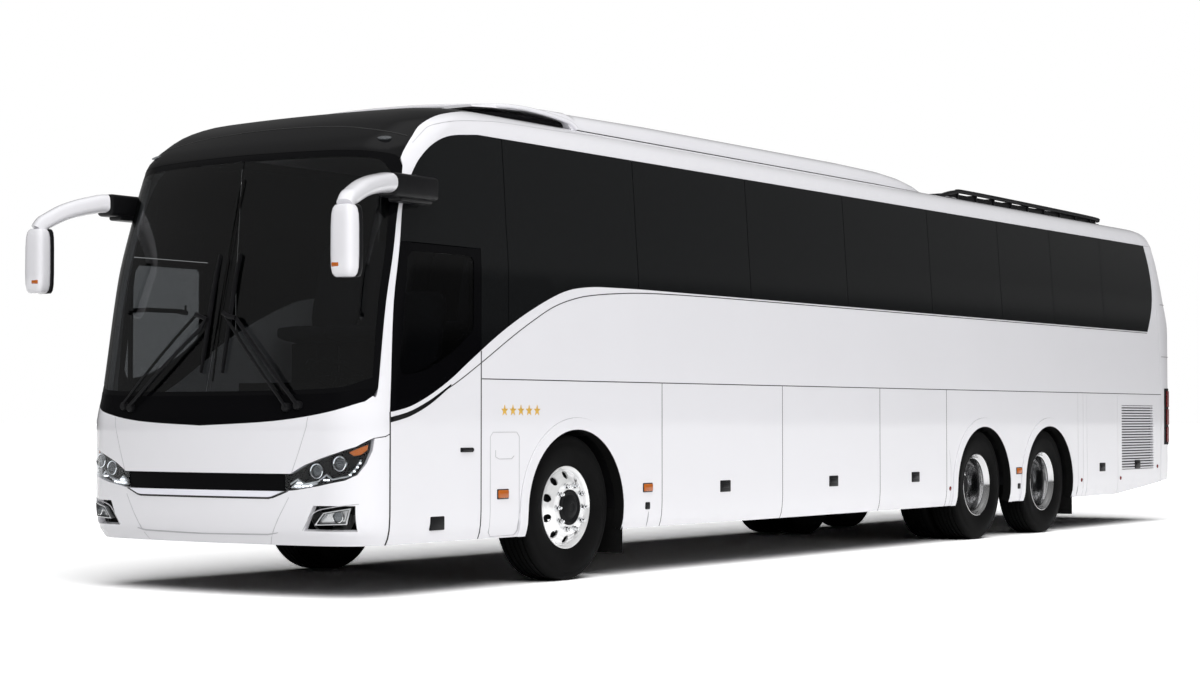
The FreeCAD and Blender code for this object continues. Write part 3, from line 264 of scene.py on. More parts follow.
# point of the body's outer form; |q| is 0 at the nose, 2 at the corner's end, 3 at the tail's
def surface(q, v):
    z, half, front, rear, cx, cy, lean = planFacts(v)
    side, q = (-1 if q < 0 else 1), abs(q)
    if q <= 1:
        a = lean * q
        x, y = bowRadius * math.sin(a), front + bowRadius * (1 - math.cos(a))
    elif q <= 2:
        a = lean + (math.pi / 2 - lean) * (q - 1)
        x, y = cx + cornerRadius * math.sin(a), cy - cornerRadius * math.cos(a)
    elif q <= 3:
        x, y = half, cy + (q - 2) * (rear - tailRadius - cy)
    elif q <= 4:
        a = (q - 3) * math.pi / 2
        x, y = half - tailRadius * (1 - math.cos(a)), rear - tailRadius * (1 - math.sin(a))
    else:
        x, y = (half - tailRadius) * (5 - q), rear
    return Vector((side * x, y, z))


def outward(q, v):
    e, f = 2e-3, 2e-3
    v0, v1 = max(v - f, 0), min(v + f, topParam)
    across = surface(q + e, v) - surface(q - e, v)
    up = surface(q, v1) - surface(q, v0)
    return across.cross(up).normalized()


def fromY(y, v):
    z, half, front, rear, cx, cy, lean = planFacts(v)
    if y < cy:
        c = (cy - y) / cornerRadius
        if c <= math.cos(lean):
            return 1 + (math.acos(max(c, 0)) - lean) / (math.pi / 2 - lean)
        return math.acos(1 - max(y - front, 0) / bowRadius) / lean
    if y <= rear - tailRadius:
        return 2 + (y - cy) / (rear - tailRadius - cy)
    return 3 + math.asin(min((y - rear + tailRadius) / tailRadius, 1)) / (math.pi / 2)


def fromX(x, v):
    z, half, front, rear, cx, cy, lean = planFacts(v)
    side, x = (-1 if x < 0 else 1), abs(x)
    if x <= bowRadius * math.sin(lean):
        return side * math.asin(x / bowRadius) / lean
    return side * (1 + (math.asin(min((x - cx) / cornerRadius, 1)) - lean) / (math.pi / 2 - lean))


# the place q round the plan, against the distance along it in metres
flatScale = [(0, 0.0), (1, 1.0), (2, 1.48), (3, 14.6), (4, 14.9), (5, 16.0)]


# a signed value carried from one column of the table to the other
def rescaled(value, source, target):
    sign, value = (-1 if value < 0 else 1), abs(value)
    for low, high in zip(flatScale, flatScale[1:]):
        if value <= high[source]:
            t = (value - low[source]) / (high[source] - low[source])
            return sign * (low[target] + (high[target] - low[target]) * t)
    return sign * flatScale[-1][target]


def flatten(q):
    return rescaled(q, 0, 1)


def unflatten(s):
    return rescaled(s, 1, 0)


# a smooth line through points, with their two ends kept
def smoothLine(points, count=8):
    out = []
    for i in range(len(points) - 1):
        p0, p1 = points[max(i - 1, 0)], points[i]
        p2, p3 = points[i + 1], points[min(i + 2, len(points) - 1)]
        for k in range(count):
            t = k / count
            out.append(tuple(0.5 * (2 * b + (c - a) * t + (2 * a - 5 * b + 4 * c - d) * t * t
                                    + (3 * b - a - 3 * c + d) * t ** 3)
                             for a, b, c, d in zip(p0, p1, p2, p3)))
    return out + [points[-1]]


def dense(points, step):
    out = []
    for a, b in zip(points, points[1:]):
        count = max(1, math.ceil(math.dist(a, b) / step))
        out += [tuple(p + (q - p) * k / count for p, q in zip(a, b)) for k in range(count)]
    return out + [points[-1]]


# side-view points (y behind the front axle, z) as places on the body's left
def alongSide(points, step=0.05):
    out = []
    for y, z in dense(points, step):
        v = paramAt(z)
        out.append((fromY(axleY + y, v), v))
    return out


# front-view points (x, z) as places on the nose
def alongNose(points, step=0.04):
    out = []
    for x, z in dense(points, step):
        v = paramAt(z)
        out.append((fromX(x, v), v))
    return out


def swapped(line):
    return [(-q, v) for q, v in line]


# a loop drawn for the left, turned over for the right
def facing(side, line):
    return line if side == left else swapped(line)


def makeObject(name, mesh, material, body, node=None):
    obj = bpy.data.objects.new(name, mesh)
    bpy.context.scene.collection.objects.link(obj)
    if material and not mesh.materials:
        mesh.materials.append(material)
    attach(obj, body)
    if node:
        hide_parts(node)
    return obj


# whether a flat point lies inside a closed loop
def within(x, y, loop):
    odd = False
    for (x0, y0), (x1, y1) in zip(loop, loop[1:] + loop[:1]):
        if (y0 > y) != (y1 > y) and x < x0 + (y - y0) / (y1 - y0) * (x1 - x0):
            odd = not odd
    return odd


# a closed sheet over flat points and outline edges; place gives a point's spot and outward direction
def solidSheet(name, points, edges, place, thick, material, body="root", node=None, holes=()):
    flat, _, faces, *_ = delaunay_2d_cdt([Vector(c) for c in points], edges, [], 1, 1e-7)
    for hole in holes:
        xs, ys = [c[0] for c in hole], [c[1] for c in hole]
        kept = []
        for face in faces:
            x, y = (sum(flat[i][k] for i in face) / len(face) for k in (0, 1))
            near = min(xs) < x < max(xs) and min(ys) < y < max(ys)
            if not (near and within(x, y, hole)):
                kept.append(face)
        faces = kept
    placed = [place(c) for c in flat]
    counts = {(face[i - 1], face[i]) for face in faces for i in range(len(face))}
    rim = [(a, b) for a, b in counts if (b, a) not in counts]
    used = sorted({i for face in faces for i in face})
    index = {old: new for new, old in enumerate(used)}
    m = len(used)
    outer = [placed[i][0] for i in used]
    back = [placed[i][0] - placed[i][1] * thick for i in used]
    verts = outer + back
    polys = [tuple(index[i] for i in face) for face in faces]
    a, b, c = (outer[i] for i in polys[0][:3])
    if (b - a).cross(c - a).dot(placed[used[polys[0][0]]][1]) < 0:
        polys = [face[::-1] for face in polys]
        rim = [(b, a) for a, b in rim]
    polys += [tuple(m + i for i in reversed(face)) for face in polys]
    edgeVerts = {}
    for a, b in rim:
        quad = []
        for i, layer in ((b, 0), (a, 0), (a, 1), (b, 1)):
            if (i, layer) not in edgeVerts:
                edgeVerts[(i, layer)] = len(verts)
                verts.append(outer[index[i]] if layer == 0 else back[index[i]])
            quad.append(edgeVerts[(i, layer)])
        polys.append(tuple(quad))
    mesh = bpy.data.meshes.new(name)
    mesh.from_pydata(verts, [], polys)
    mesh.polygons.foreach_set("use_smooth", [True] * len(mesh.polygons))
    loopNormals = []
    for poly in mesh.polygons:
        for vertex in poly.vertices:
            if vertex < m:
                loopNormals.append(placed[used[vertex]][1])
            elif vertex < 2 * m:
                loopNormals.append(-placed[used[vertex - m]][1])
            else:
                loopNormals.append(poly.normal.copy())
    mesh.normals_split_custom_set(loopNormals)
    return makeObject(name, mesh, material, body, node)


# a closed piece of bodywork: loops (the first is the outline, the others holes) on the body form
def panel(name, loops, material, body="root", node=None, thick=0.05, lift=0.0, step=(0.09, 0.07)):
    coords, edges, rings = [], [], []
    for loop in loops:
        clean = []
        for q, v in loop:
            place = (flatten(q), v)
            if not clean or math.dist(place, clean[-1]) > 1e-4:
                clean.append(place)
        if math.dist(clean[0], clean[-1]) < 1e-4:
            clean.pop()
        start = len(coords)
        coords += clean
        rings.append(clean)
        edges += [(start + i, start + (i + 1) % len(clean)) for i in range(len(clean))]
    tree = KDTree(len(coords))
    for i, place in enumerate(coords):
        tree.insert((place[0], place[1], 0), i)
    tree.balance()
    sLow, sHigh = min(c[0] for c in coords), max(c[0] for c in coords)
    vLow, vHigh = min(c[1] for c in coords), max(c[1] for c in coords)
    rows = max(2, math.ceil((vHigh - vLow) / step[1]))
    inner = []
    s = sLow
    while s < sHigh:
        near = abs(s) < 1.6 or abs(s) > 14.4
        s += step[0] if near else step[0] * 3
        for k in range(1, rows):
            v = vLow + (vHigh - vLow) * k / rows
            if tree.find((s, v, 0))[2] > 0.35 * step[1]:
                inner.append((s, v))

    def place(c):
        q = unflatten(c[0])
        normal = outward(q, c[1])
        return surface(q, c[1]) + normal * lift, normal

    return solidSheet(name, coords + inner, edges, place, thick, material, body, node, rings[1:])


# lines on the side, as y behind the front axle and z
doorFront, doorRear, wallEnd = -2.05, -1.09, 11.59
gap = 0.003
pillarLine = smoothLine(mm((-2050, 1200), (-2037, 1352), (-1990, 1921), (-1900, 2383), (-1850, 2591),
                           (-1785, 2740)), 6)
browLine = smoothLine(mm((-1785, 2740), (-1700, 2860), (-1560, 2970), (-1360, 3048), (-1050, 3086)), 6)
sweepLine = smoothLine(mm((-2050, 1197), (-1850, 1235), (-1640, 1312), (-1420, 1420), (-1200, 1552),
                          (-850, 1752), (-500, 1917), (-120, 2056), (200, 2105), (560, 2116), (900, 2120)), 6)
glassEnd = smoothLine(mm((11190, 2120), (11360, 2400), (11400, 2620), (11350, 2860), (11240, 3086)), 6)
archZ, archRadius, archRise = 0.502, 0.6, 0.578


# round a wheel arch from front to rear
def archLine(centre, radius, z0):
    y = centre - axleY + 0.042
    rise = radius * archRise / archRadius
    angles = [math.pi * i / 36 for i in range(37)]
    turn = [(y - radius * math.cos(a), archZ + rise * math.sin(a)) for a in angles]
    return [(y - radius, z0)] + turn + [(y + radius, z0)]


# the part of a left-to-right line that lies behind y
def clipAt(line, y):
    out = []
    for a, b in zip(line, line[1:]):
        if a[0] < y <= b[0]:
            t = (y - a[0]) / (b[0] - a[0])
            out.append((y, a[1] + (b[1] - a[1]) * t))
        if b[0] > y:
            out.append(b)
    return out


# the part that lies ahead of y
def clipBefore(line, y):
    flipped = [(-p, z) for p, z in reversed(line)]
    return [(-p, z) for p, z in reversed(clipAt(flipped, -y))]


# underside of the tail, which rises behind the engine's front end
def skirtAt(y):
    return skirtZ + max(0.0, y - 10.27) * 0.084


lids = [("luggage_lid_front", 1.17, 3.0, (left, right)), ("luggage_lid_middle", 3.0, 4.73, (left, right)),
        ("luggage_lid_rear", 4.73, 6.07, (left, right)), ("service_lid", 9.43, 10.29, (left,)),
        ("engine_side_lid", 10.29, 11.56, (left, right))]
sideName = {left: "left", right: "right"}
doorName = {left: "driver_door", right: "passenger_door"}
wallSweep = clipAt(sweepLine, doorRear + gap)


def wallLoop(withService):
    line = [(doorRear + gap, skirtZ)]
    line += archLine(axleY, archRadius, skirtZ)
    line += [(1.17 - gap, skirtZ), (1.17 - gap, lidTopZ + gap), (6.07 + gap, lidTopZ + gap),
             (6.07 + gap, skirtZ)]
    line += archLine(driveY, archRadius, skirtZ)
    line += archLine(tagY, archRadius, skirtZ)
    y = 9.43 if withService else 10.29
    line += [(y - gap, skirtZ), (y - gap, lidTopZ + gap), (11.56 + gap, lidTopZ + gap),
             (11.56 + gap, skirtAt(11.56)), (wallEnd - gap, skirtAt(wallEnd)), (wallEnd - gap, lidTopZ),
             (11.42, gutterZ - 0.002)]
    line += list(reversed(glassEnd))
    line += [(0.95, windowZ)] + list(reversed(wallSweep))
    return line


for side, withService in ((left, True), (right, False)):
    loop = facing(side, alongSide(wallLoop(withService) + [(doorRear + gap, skirtZ)]))
    node = "side_wall_" + sideName[side]
    panel(node + "_skin", [loop], whitePaint, "root", node)

for name, y0, y1, sides in lids:
    for side in sides:
        line = [(y0 + gap, skirtAt(y0)), (y1 - gap, skirtAt(y1)), (y1 - gap, lidTopZ - gap),
                (y0 + gap, lidTopZ - gap), (y0 + gap, skirtAt(y0))]
        holes = []
        if name == "engine_side_lid":
            holes = [mm((10400, 600), (10400, 1300), (11340, 1300), (11340, 600), (10400, 600))]
        loops = [facing(side, alongSide(points)) for points in [line] + holes]
        node = name + "_" + sideName[side]
        panel(node + "_skin", loops, whitePaint, node, node, thick=0.045)
print("side walls and lids ready")

# upright joints between the side's black panes
paneSeams = [-0.78, 0.85, 2.5, 4.15, 5.79, 7.33, 8.6, 9.94]


# outlines of the side's black panes, front to rear
def glassLoops():
    joint, doorTop = 0.004, 2.306 + gap
    first = paneSeams[0] - joint
    overDoor = [(x, z) for x, z in pillarLine if z > doorTop]
    full = [(doorRear + gap, doorTop), (doorRear + gap, wallSweep[0][1])] + clipBefore(wallSweep, first)
    full += [(first, brow(first))] + list(reversed(clipBefore(browLine, first))) + list(reversed(overDoor))
    full += [(pillarAt(doorTop), doorTop), (doorRear + gap, doorTop)]
    loops = [full]
    for y0, y1 in zip(paneSeams, paneSeams[1:]):
        y0, y1 = y0 + joint, y1 - joint
        low = [(y0, sweep(y0))] + [p for p in sweepLine if y0 < p[0] < y1] + [(y1, sweep(y1))]
        high = [(y1, brow(y1))] + [p for p in reversed(browLine) if y0 < p[0] < y1] + [(y0, brow(y0))]
        loops.append(low + high + low[:1])
    y0 = paneSeams[-1] + joint
    loops.append([(y0, windowZ)] + list(glassEnd) + [(y0, 3.086), (y0, windowZ)])
    return loops


def lineAt(line, y, fallback):
    for a, b in zip(line, line[1:]):
        if a[0] <= y <= b[0] and b[0] > a[0]:
            return a[1] + (b[1] - a[1]) * (y - a[0]) / (b[0] - a[0])
    return fallback


def sweep(y):
    return lineAt(sweepLine, y, windowZ)


def brow(y):
    return lineAt(browLine, y, 3.086)


def pillarAt(z):
    for a, b in zip(pillarLine, pillarLine[1:]):
        if a[1] <= z <= b[1]:
            return a[0] + (b[0] - a[0]) * (z - a[1]) / (b[1] - a[1])
    return pillarLine[-1][0]


for side in (left, right):
    for i, loop in enumerate(glassLoops()):
        line = facing(side, alongSide(loop))
        panel(f"side_pane_{sideName[side]}_{i + 1}", [line], sideGlass, "root",
              "side_glass_" + sideName[side], thick=0.006, lift=-0.001)
print("side panes ready")

# doors
doorSweep = clipBefore(sweepLine, doorRear - gap)
doorTopZ = 2.306 - gap
frontEdge = [(y + 0.005, z) for y, z in pillarLine if z < doorTopZ]
doorLow = [(doorFront + 0.005, skirtZ), (doorRear - gap, skirtZ)]
doorWhite = doorLow + [(doorRear - gap, doorSweep[-1][1])] + list(reversed(doorSweep[1:]))
doorWhite += [(doorFront + 0.005, 1.199), (doorFront + 0.005, skirtZ)]
doorBlack = [(doorFront + 0.005, 1.199)] + doorSweep[1:] + [(doorRear - gap, doorTopZ)]
doorBlack += [(pillarAt(doorTopZ) + 0.005, doorTopZ)] + list(reversed(frontEdge))
doorPane = smoothLine(mm((-1930, 1440), (-1700, 1470), (-1400, 1600), (-1190, 1740)), 5)
doorPane += mm((-1170, 1800), (-1170, 2220), (-1200, 2250), (-1830, 2250), (-1870, 2210), (-1960, 1500),
               (-1930, 1440))
for side, node in doorName.items():
    white, black, pane = (facing(side, alongSide(points)) for points in (doorWhite, doorBlack, doorPane))
    panel(node + "_lower_skin", [white], whitePaint, node, node)
    panel(node + "_upper_skin", [black, pane], fritGlass, node, node)
    panel(node + "_pane", [pane], doorGlass, node, node + "_glass", thick=0.006, lift=-0.004)
print("doors ready")

# nose: outlines as x and z on the front, or as side points
screenEdge = mm((-2128, 1353), (-2042, 1919), (-1937, 2379), (-1881, 2586), (-1826, 2811))
screenTop = mm((1163, 2865), (1117, 2891), (935, 2915), (671, 2928), (0, 2935))
screenFoot = mm((0, 1305), (500, 1307), (980, 1318), (1150, 1338))
bandFoot = smoothLine(mm((0, 1110), (600, 1139), (1000, 1196), (1196, 1265)), 6)


# a closed loop from the line of its left half, listed from the middle's foot round to the middle's top
def around(half):
    return half + [(-q, v) for q, v in reversed(half)]


def halfScreen(foot, edge, top):
    lower = alongNose(smoothLine(foot, 5))
    middle = alongSide(smoothLine(edge, 5))
    upper = alongNose(smoothLine(top, 5))
    return lower + middle + upper


screenHalf = halfScreen(screenFoot, screenEdge, screenTop)
glassFoot = mm((0, 1335), (500, 1337), (980, 1350), (1120, 1372))
glassEdge = mm((-2155, 1420), (-2085, 1919), (-1985, 2379), (-1930, 2586), (-1895, 2770))
glassTop = mm((1100, 2835), (1050, 2860), (900, 2875), (671, 2885), (0, 2890))
glassHalf = halfScreen(glassFoot, glassEdge, glassTop)
panel("windscreen_border", [around(screenHalf), around(glassHalf)], fritGlass, "root", "windscreen",
      thick=0.012, lift=-0.002)
for side in (left, right):
    inner = facing(side, [(max(q, 0.004), v) for q, v in glassHalf])
    panel("windscreen_pane_" + sideName[side], [inner], screenGlass, "root", "windscreen", thick=0.006,
          lift=-0.003)
print("windscreen ready")

# black band under the windscreen
bandSide = alongSide(smoothLine(mm((-2165, 1300), (-2128, 1353)), 2))
bandHalf = alongNose(bandFoot) + bandSide + list(reversed(alongNose(smoothLine(screenFoot, 5))))
panel("screen_apron", [around(bandHalf)], blackSatin, "root", "front_panel")

lampOuter = mm((700, 693), (778, 700), (950, 728), (1119, 765), (1178, 800), (1214, 870), (1235, 950),
               (1241, 1030), (1173, 975), (1070, 935), (962, 899), (850, 858), (742, 801), (700, 798),
               (700, 693))
# white frame of the nose: from the bumper seam to the black band, and the pillars up to the roof
pillarInner = alongSide(smoothLine(mm((-2165, 1300), (-2128, 1353)) + screenEdge[1:], 5))
pillarOuter = alongSide([(y - 0.004, z) for y, z in reversed(pillarLine)])
noseHalf = alongNose(mm((0, 802), (740, 802)))
noseHalf += alongNose(mm((742, 803), (850, 860), (962, 901), (1070, 937), (1173, 977), (1240, 1032)))
noseHalf += alongSide([(-2.09, 1.045), (doorFront - 0.004, 1.06), (doorFront - 0.004, 1.2)])
noseHalf += list(reversed(pillarOuter)) + [pillarInner[-1]] + list(reversed(pillarInner))
noseHalf += list(reversed(alongNose(bandFoot)))
panel("nose_frame", [around(noseHalf)], whitePaint, "root", "front_panel")
bumperHalf = alongNose([(0.0, skirtZ), (1.0, skirtZ)])
bumperHalf += alongSide([(-2.35, skirtZ), (doorFront - 0.004, skirtZ), (doorFront - 0.004, 1.054),
                         (-2.09, 1.038)])
bumperHalf += alongNose(mm((1243, 1028), (1237, 950), (1216, 868), (1180, 797), (1120, 762), (950, 725),
                           (778, 697), (700, 690), (0, 690)))
fogHole = mm((830, 435), (1170, 435), (1170, 600), (910, 600), (830, 435))
fogLoop = alongNose(fogHole, 0.03)
panel("bumper_skin", [around(bumperHalf), fogLoop, swapped(fogLoop)], whitePaint, "root", "front_bumper")
grilleHalf = alongNose(mm((0, 694), (700, 694), (700, 798), (0, 798)))
panel("grille_band", [around(grilleHalf)], blackSatin, "root", "grille_strip", lift=-0.012)
print("nose ready")

# roof: black cap, white arches and white roof
capEdge = mm((-1826, 2865), (-1790, 2925), (-1720, 3000), (-1594, 3105), (-1420, 3185), (-1200, 3235),
             (-1000, 3262), (-750, 3278), (-450, 3288))
capLine = alongSide(smoothLine(capEdge, 6), 0.03)
topEdge = (fromY(axleY - 0.4, topParam), topParam)
capHalf = alongNose(list(reversed(smoothLine(screenTop, 5)))) + capLine + [topEdge]
steps = 24
capHalf += [(topEdge[0] * (1 - i / steps), topParam) for i in range(1, steps + 1)]
panel("roof_cap", [around(capHalf)], blackPaint, "root", "roof", step=(0.06, 0.05))
wallHead = [(-1.05, gutterZ), (11.42, gutterZ)]
bandLine = alongSide([(y - 0.004, z) for y, z in pillarLine if z > 2.6]
                     + [(y, z + 0.004) for y, z in browLine[1:]])
roofHalf = bandLine + alongSide(wallHead)
v0 = paramAt(gutterZ)
roofHalf += [(q, v0) for q in (2.99, 3.0, 3.2, 3.4, 3.6, 3.8, 4.0, 4.3, 4.6, 4.98)]
roofHalf += [(q, topParam) for q in (4.98, 4.5, 4.0, 3.75, 3.5, 3.25, 3.0)]
count = 60
roofHalf += [(3.0 + (topEdge[0] - 3.0) * i / count, topParam) for i in range(1, count + 1)]
roofHalf += list(reversed(capLine)) + [alongSide(mm((-1826, 2811), (-1826, 2811)))[0]]
for side in (left, right):
    loop = facing(side, roofHalf)
    panel("roof_side_" + sideName[side], [loop], whitePaint, "root", "roof", step=(0.08, 0.04))
print("roof sides ready")

# tail
tailLow = skirtZ + 0.14
tailHalf = [(fromY(axleY + wallEnd + gap, paramAt(z)), paramAt(z)) for z in (0.46, 0.8, 1.1, lidTopZ)]
tailHalf += alongSide([(wallEnd + gap, lidTopZ), (11.424, gutterZ - 0.002)])
tailHalf += [(q, paramAt(gutterZ - 0.002)) for q in (3.0, 3.25, 3.5, 3.75, 4.0, 4.5, 5.0)]
tailHalf += [(5.0, paramAt(tailLow)), (4.5, paramAt(tailLow)), (4.0, paramAt(tailLow)),
             (3.5, paramAt(tailLow)), (3.0, paramAt(0.465))]
for side in (left, right):
    loop = facing(side, tailHalf)
    panel("tail_skin_" + sideName[side], [loop], whitePaint, "root", "rear_panel")


# builders for round, swept and boxed pieces
def finishMesh(name, verts, polys, material, body="root", node=None, sharp=0.6):
    mesh = bpy.data.meshes.new(name)
    mesh.from_pydata(verts, [], polys)
    bm = bmesh.new()
    bm.from_mesh(mesh)
    bmesh.ops.remove_doubles(bm, verts=bm.verts, dist=1e-5)
    bmesh.ops.recalc_face_normals(bm, faces=bm.faces)
    bm.to_mesh(mesh)
    bm.free()
    mesh.polygons.foreach_set("use_smooth", [True] * len(mesh.polygons))
    mesh.set_sharp_from_angle(angle=sharp)
    return makeObject(name, mesh, material, body, node)


def joined(*shapes):
    verts, polys = [], []
    for v, p in shapes:
        start = len(verts)
        verts += v
        polys += [tuple(start + i for i in face) for face in p]
    return verts, polys


# quads between rings of count vertices; across closes each ring, along joins the last ring to the first
def quads(rings, count, across=True, along=False, capped=False):
    polys = []
    for i in range(rings if along else rings - 1):
        j = (i + 1) % rings
        for k in range(count if across else count - 1):
            m = (k + 1) % count
            polys.append((i * count + k, i * count + m, j * count + m, j * count + k))
    if capped:
        polys += [tuple(range(count))[::-1], tuple(range((rings - 1) * count, rings * count))]
    return polys


# a point on a rounded rectangle
def squared(angle, power):
    return [math.copysign(abs(value) ** power, value) for value in (math.cos(angle), math.sin(angle))]


# rows of (outboard offset, radius) turned about a line along X, or along tilt's direction
def turned(rows, centre, side, sides=64, closed=True, tilt=None):
    axis = Vector(tilt).normalized() if tilt else Vector((side, 0, 0))
    first = axis.orthogonal().normalized() if tilt else Vector((0, 1, 0))
    second = axis.cross(first)
    middle = Vector(centre)
    verts = []
    for i in range(sides):
        a = 2 * math.pi * (i + 0.5) / sides
        ray = first * math.cos(a) + second * math.sin(a)
        verts += [middle + axis * offset + ray * radius for offset, radius in rows]
    return verts, quads(sides, len(rows), closed, True)


# a tube through a path; sizes are half width and half height at each point
def swept(path, sizes, sides=20, ref=(0, 0, 1), square=1.0):
    path = [Vector(p) for p in path]
    verts = []
    for i, p in enumerate(path):
        run = (path[min(i + 1, len(path) - 1)] - path[max(i - 1, 0)]).normalized()
        across = run.cross(Vector(ref))
        across = across.normalized() if across.length > 1e-4 else Vector((1, 0, 0))
        rise = across.cross(run).normalized()
        a, b = sizes[i] if isinstance(sizes, list) else sizes
        for k in range(sides):
            c, s = squared(2 * math.pi * k / sides, square)
            verts.append(p + across * (a * c) + rise * (b * s))
    return verts, quads(len(path), sides, capped=True)


# stacked rounded plans: rows of (z, half width, half depth, centre x, centre y)
def lofted(rows, square=0.5, sides=36):
    verts = []
    for z, w, d, x, y in rows:
        for k in range(sides):
            c, s = squared(2 * math.pi * (k + 0.5) / sides, square)
            verts.append(Vector((x + w * c, y + d * s, z)))
    return verts, quads(len(rows), sides, capped=True)


# a box with rounded edges, as vertices and faces
def rounded(low, high, radius, segments=3, turn=None):
    bm = bmesh.new()
    bmesh.ops.create_cube(bm, size=1.0)
    low, high = Vector(low), Vector(high)
    for vert in bm.verts:
        vert.co = Vector(((low[i] + high[i]) / 2 + vert.co[i] * (high[i] - low[i]) for i in range(3)))
    bmesh.ops.bevel(bm, geom=bm.edges[:], offset=radius, segments=segments, profile=0.5, affect="EDGES")
    middle = (low + high) / 2
    verts = [middle + turn @ (v.co - middle) if turn else v.co.copy() for v in bm.verts]
    bm.verts.ensure_lookup_table()
    polys = [tuple(v.index for v in f.verts) for f in bm.faces]
    bm.free()
    return verts, polys


def mirrorX(shape):
    verts, polys = shape
    return [Vector((-v[0], v[1], v[2])) for v in verts], [face[::-1] for face in polys]


def onSide(side, shape):
    return shape if side == left else mirrorX(shape)


# one of a mirrored pair of pieces, drawn for the left
def sidePiece(name, side, shape, material, body="root", node=None, sharp=0.6):
    return finishMesh(f"{name}_{sideName[side]}", *onSide(side, shape), material, body, node, sharp)


# a thin line laid on the body along places (q, v)
def strip(name, line, width, material, body="root", lift=0.0012, thick=0.004, node=None, side=left,
          closed=False):
    flat = [(flatten(q), v) for q, v in line]
    flat = [p for i, p in enumerate(flat) if i == 0 or math.dist(p, flat[i - 1]) > 1e-5]
    sideways = []
    for i, p in enumerate(flat):
        a = flat[max(i - 1, 0)] if not (closed and i in (0, len(flat) - 1)) else flat[-2]
        b = flat[min(i + 1, len(flat) - 1)] if not (closed and i in (0, len(flat) - 1)) else flat[1]
        run = Vector((b[0] - a[0], b[1] - a[1])).normalized()
        sideways.append((-run[1] * width / 2, run[0] * width / 2))
    verts, polys = [], []
    for (s, v), (ds, dv) in zip(flat, sideways):
        for sign in (1, -1):
            q, w = unflatten(s + sign * ds), v + sign * dv
            normal = outward(q, w)
            spot = surface(q, w)
            verts += [spot + normal * lift, spot - normal * thick]
    for i in range(len(flat) - 1):
        a, b = 4 * i, 4 * (i + 1)
        polys += [(a, a + 2, b + 2, b), (a + 1, b + 1, b + 3, a + 3), (a, b, b + 1, a + 1),
                  (a + 2, a + 3, b + 3, b + 2)]
    if not closed:
        e = 4 * (len(flat) - 1)
        polys += [(0, 1, 3, 2), (e, e + 2, e + 3, e + 1)]
    verts, polys = onSide(side, (verts, polys))
    return finishMesh(name, verts, polys, material, body, node)


# a spot on the body's side, off outwards
def sidePoint(y, z, off=0.0, side=left):
    v = paramAt(z)
    q = fromY(axleY + y, v)
    spot = surface(q, v) + outward(q, v) * off
    return spot if side == left else Vector((-spot.x, spot.y, spot.z))


def nosePoint(x, z, off=0.0):
    v = paramAt(z)
    q = fromX(x, v)
    return surface(q, v) + outward(q, v) * off


# a rounded box let into the body's side about a spot
def sideBox(y, z, inset, proud, halfLength, halfHeight, radius):
    spot = sidePoint(y, z)
    return rounded((spot.x - inset, spot.y - halfLength, z - halfHeight),
                   (spot.x + proud, spot.y + halfLength, z + halfHeight), radius)


# one of a pair of sheets set into the nose
def noseSheet(name, side, outlines, material, thick, lift, step=0.02, node=None):
    loops = [facing(side, alongNose(points, 0.03)) for points in outlines]
    panel(f"{name}_{sideName[side]}", loops, material, "root", node, thick=thick, lift=lift,
          step=(step, step))


# fine lines on the sides: where each runs and how wide it is
seams = {
    "shoulder": ([(doorRear + 0.008, lidTopZ), (11.58, lidTopZ)], 0.007),
    "lid_joint_a": ([(1.17, skirtZ), (1.17, lidTopZ)], 0.006),
    "lid_joint_b": ([(3.0, skirtZ), (3.0, lidTopZ)], 0.006),
    "lid_joint_c": ([(4.73, skirtZ), (4.73, lidTopZ)], 0.006),
    "lid_joint_d": ([(6.07, skirtZ), (6.07, lidTopZ)], 0.006),
    "door_joint": ([(doorRear, skirtZ), (doorRear, sweep(doorRear) - 0.002)], 0.01),
    "nose_joint": ([(doorFront - 0.002, skirtZ), (doorFront - 0.002, 1.2)], 0.011),
    "lamp_joint": ([(-2.095, 1.04), (doorFront - 0.004, 1.057)], 0.006),
    "bay_front": (mm((990, 345), (990, 460)), 0.003),
    "arch_front_post": (mm((6160, 345), (6160, 700), (6130, 860)), 0.003),
    "arch_rear_post": (mm((9190, 345), (9190, 1420)), 0.003),
    "arch_rear_post_b": (mm((9330, 345), (9330, 1420)), 0.002),
}
flap = {"front": -0.987, "rear": -0.655, "low": 0.354, "high": 1.063, "corner": 0.03}
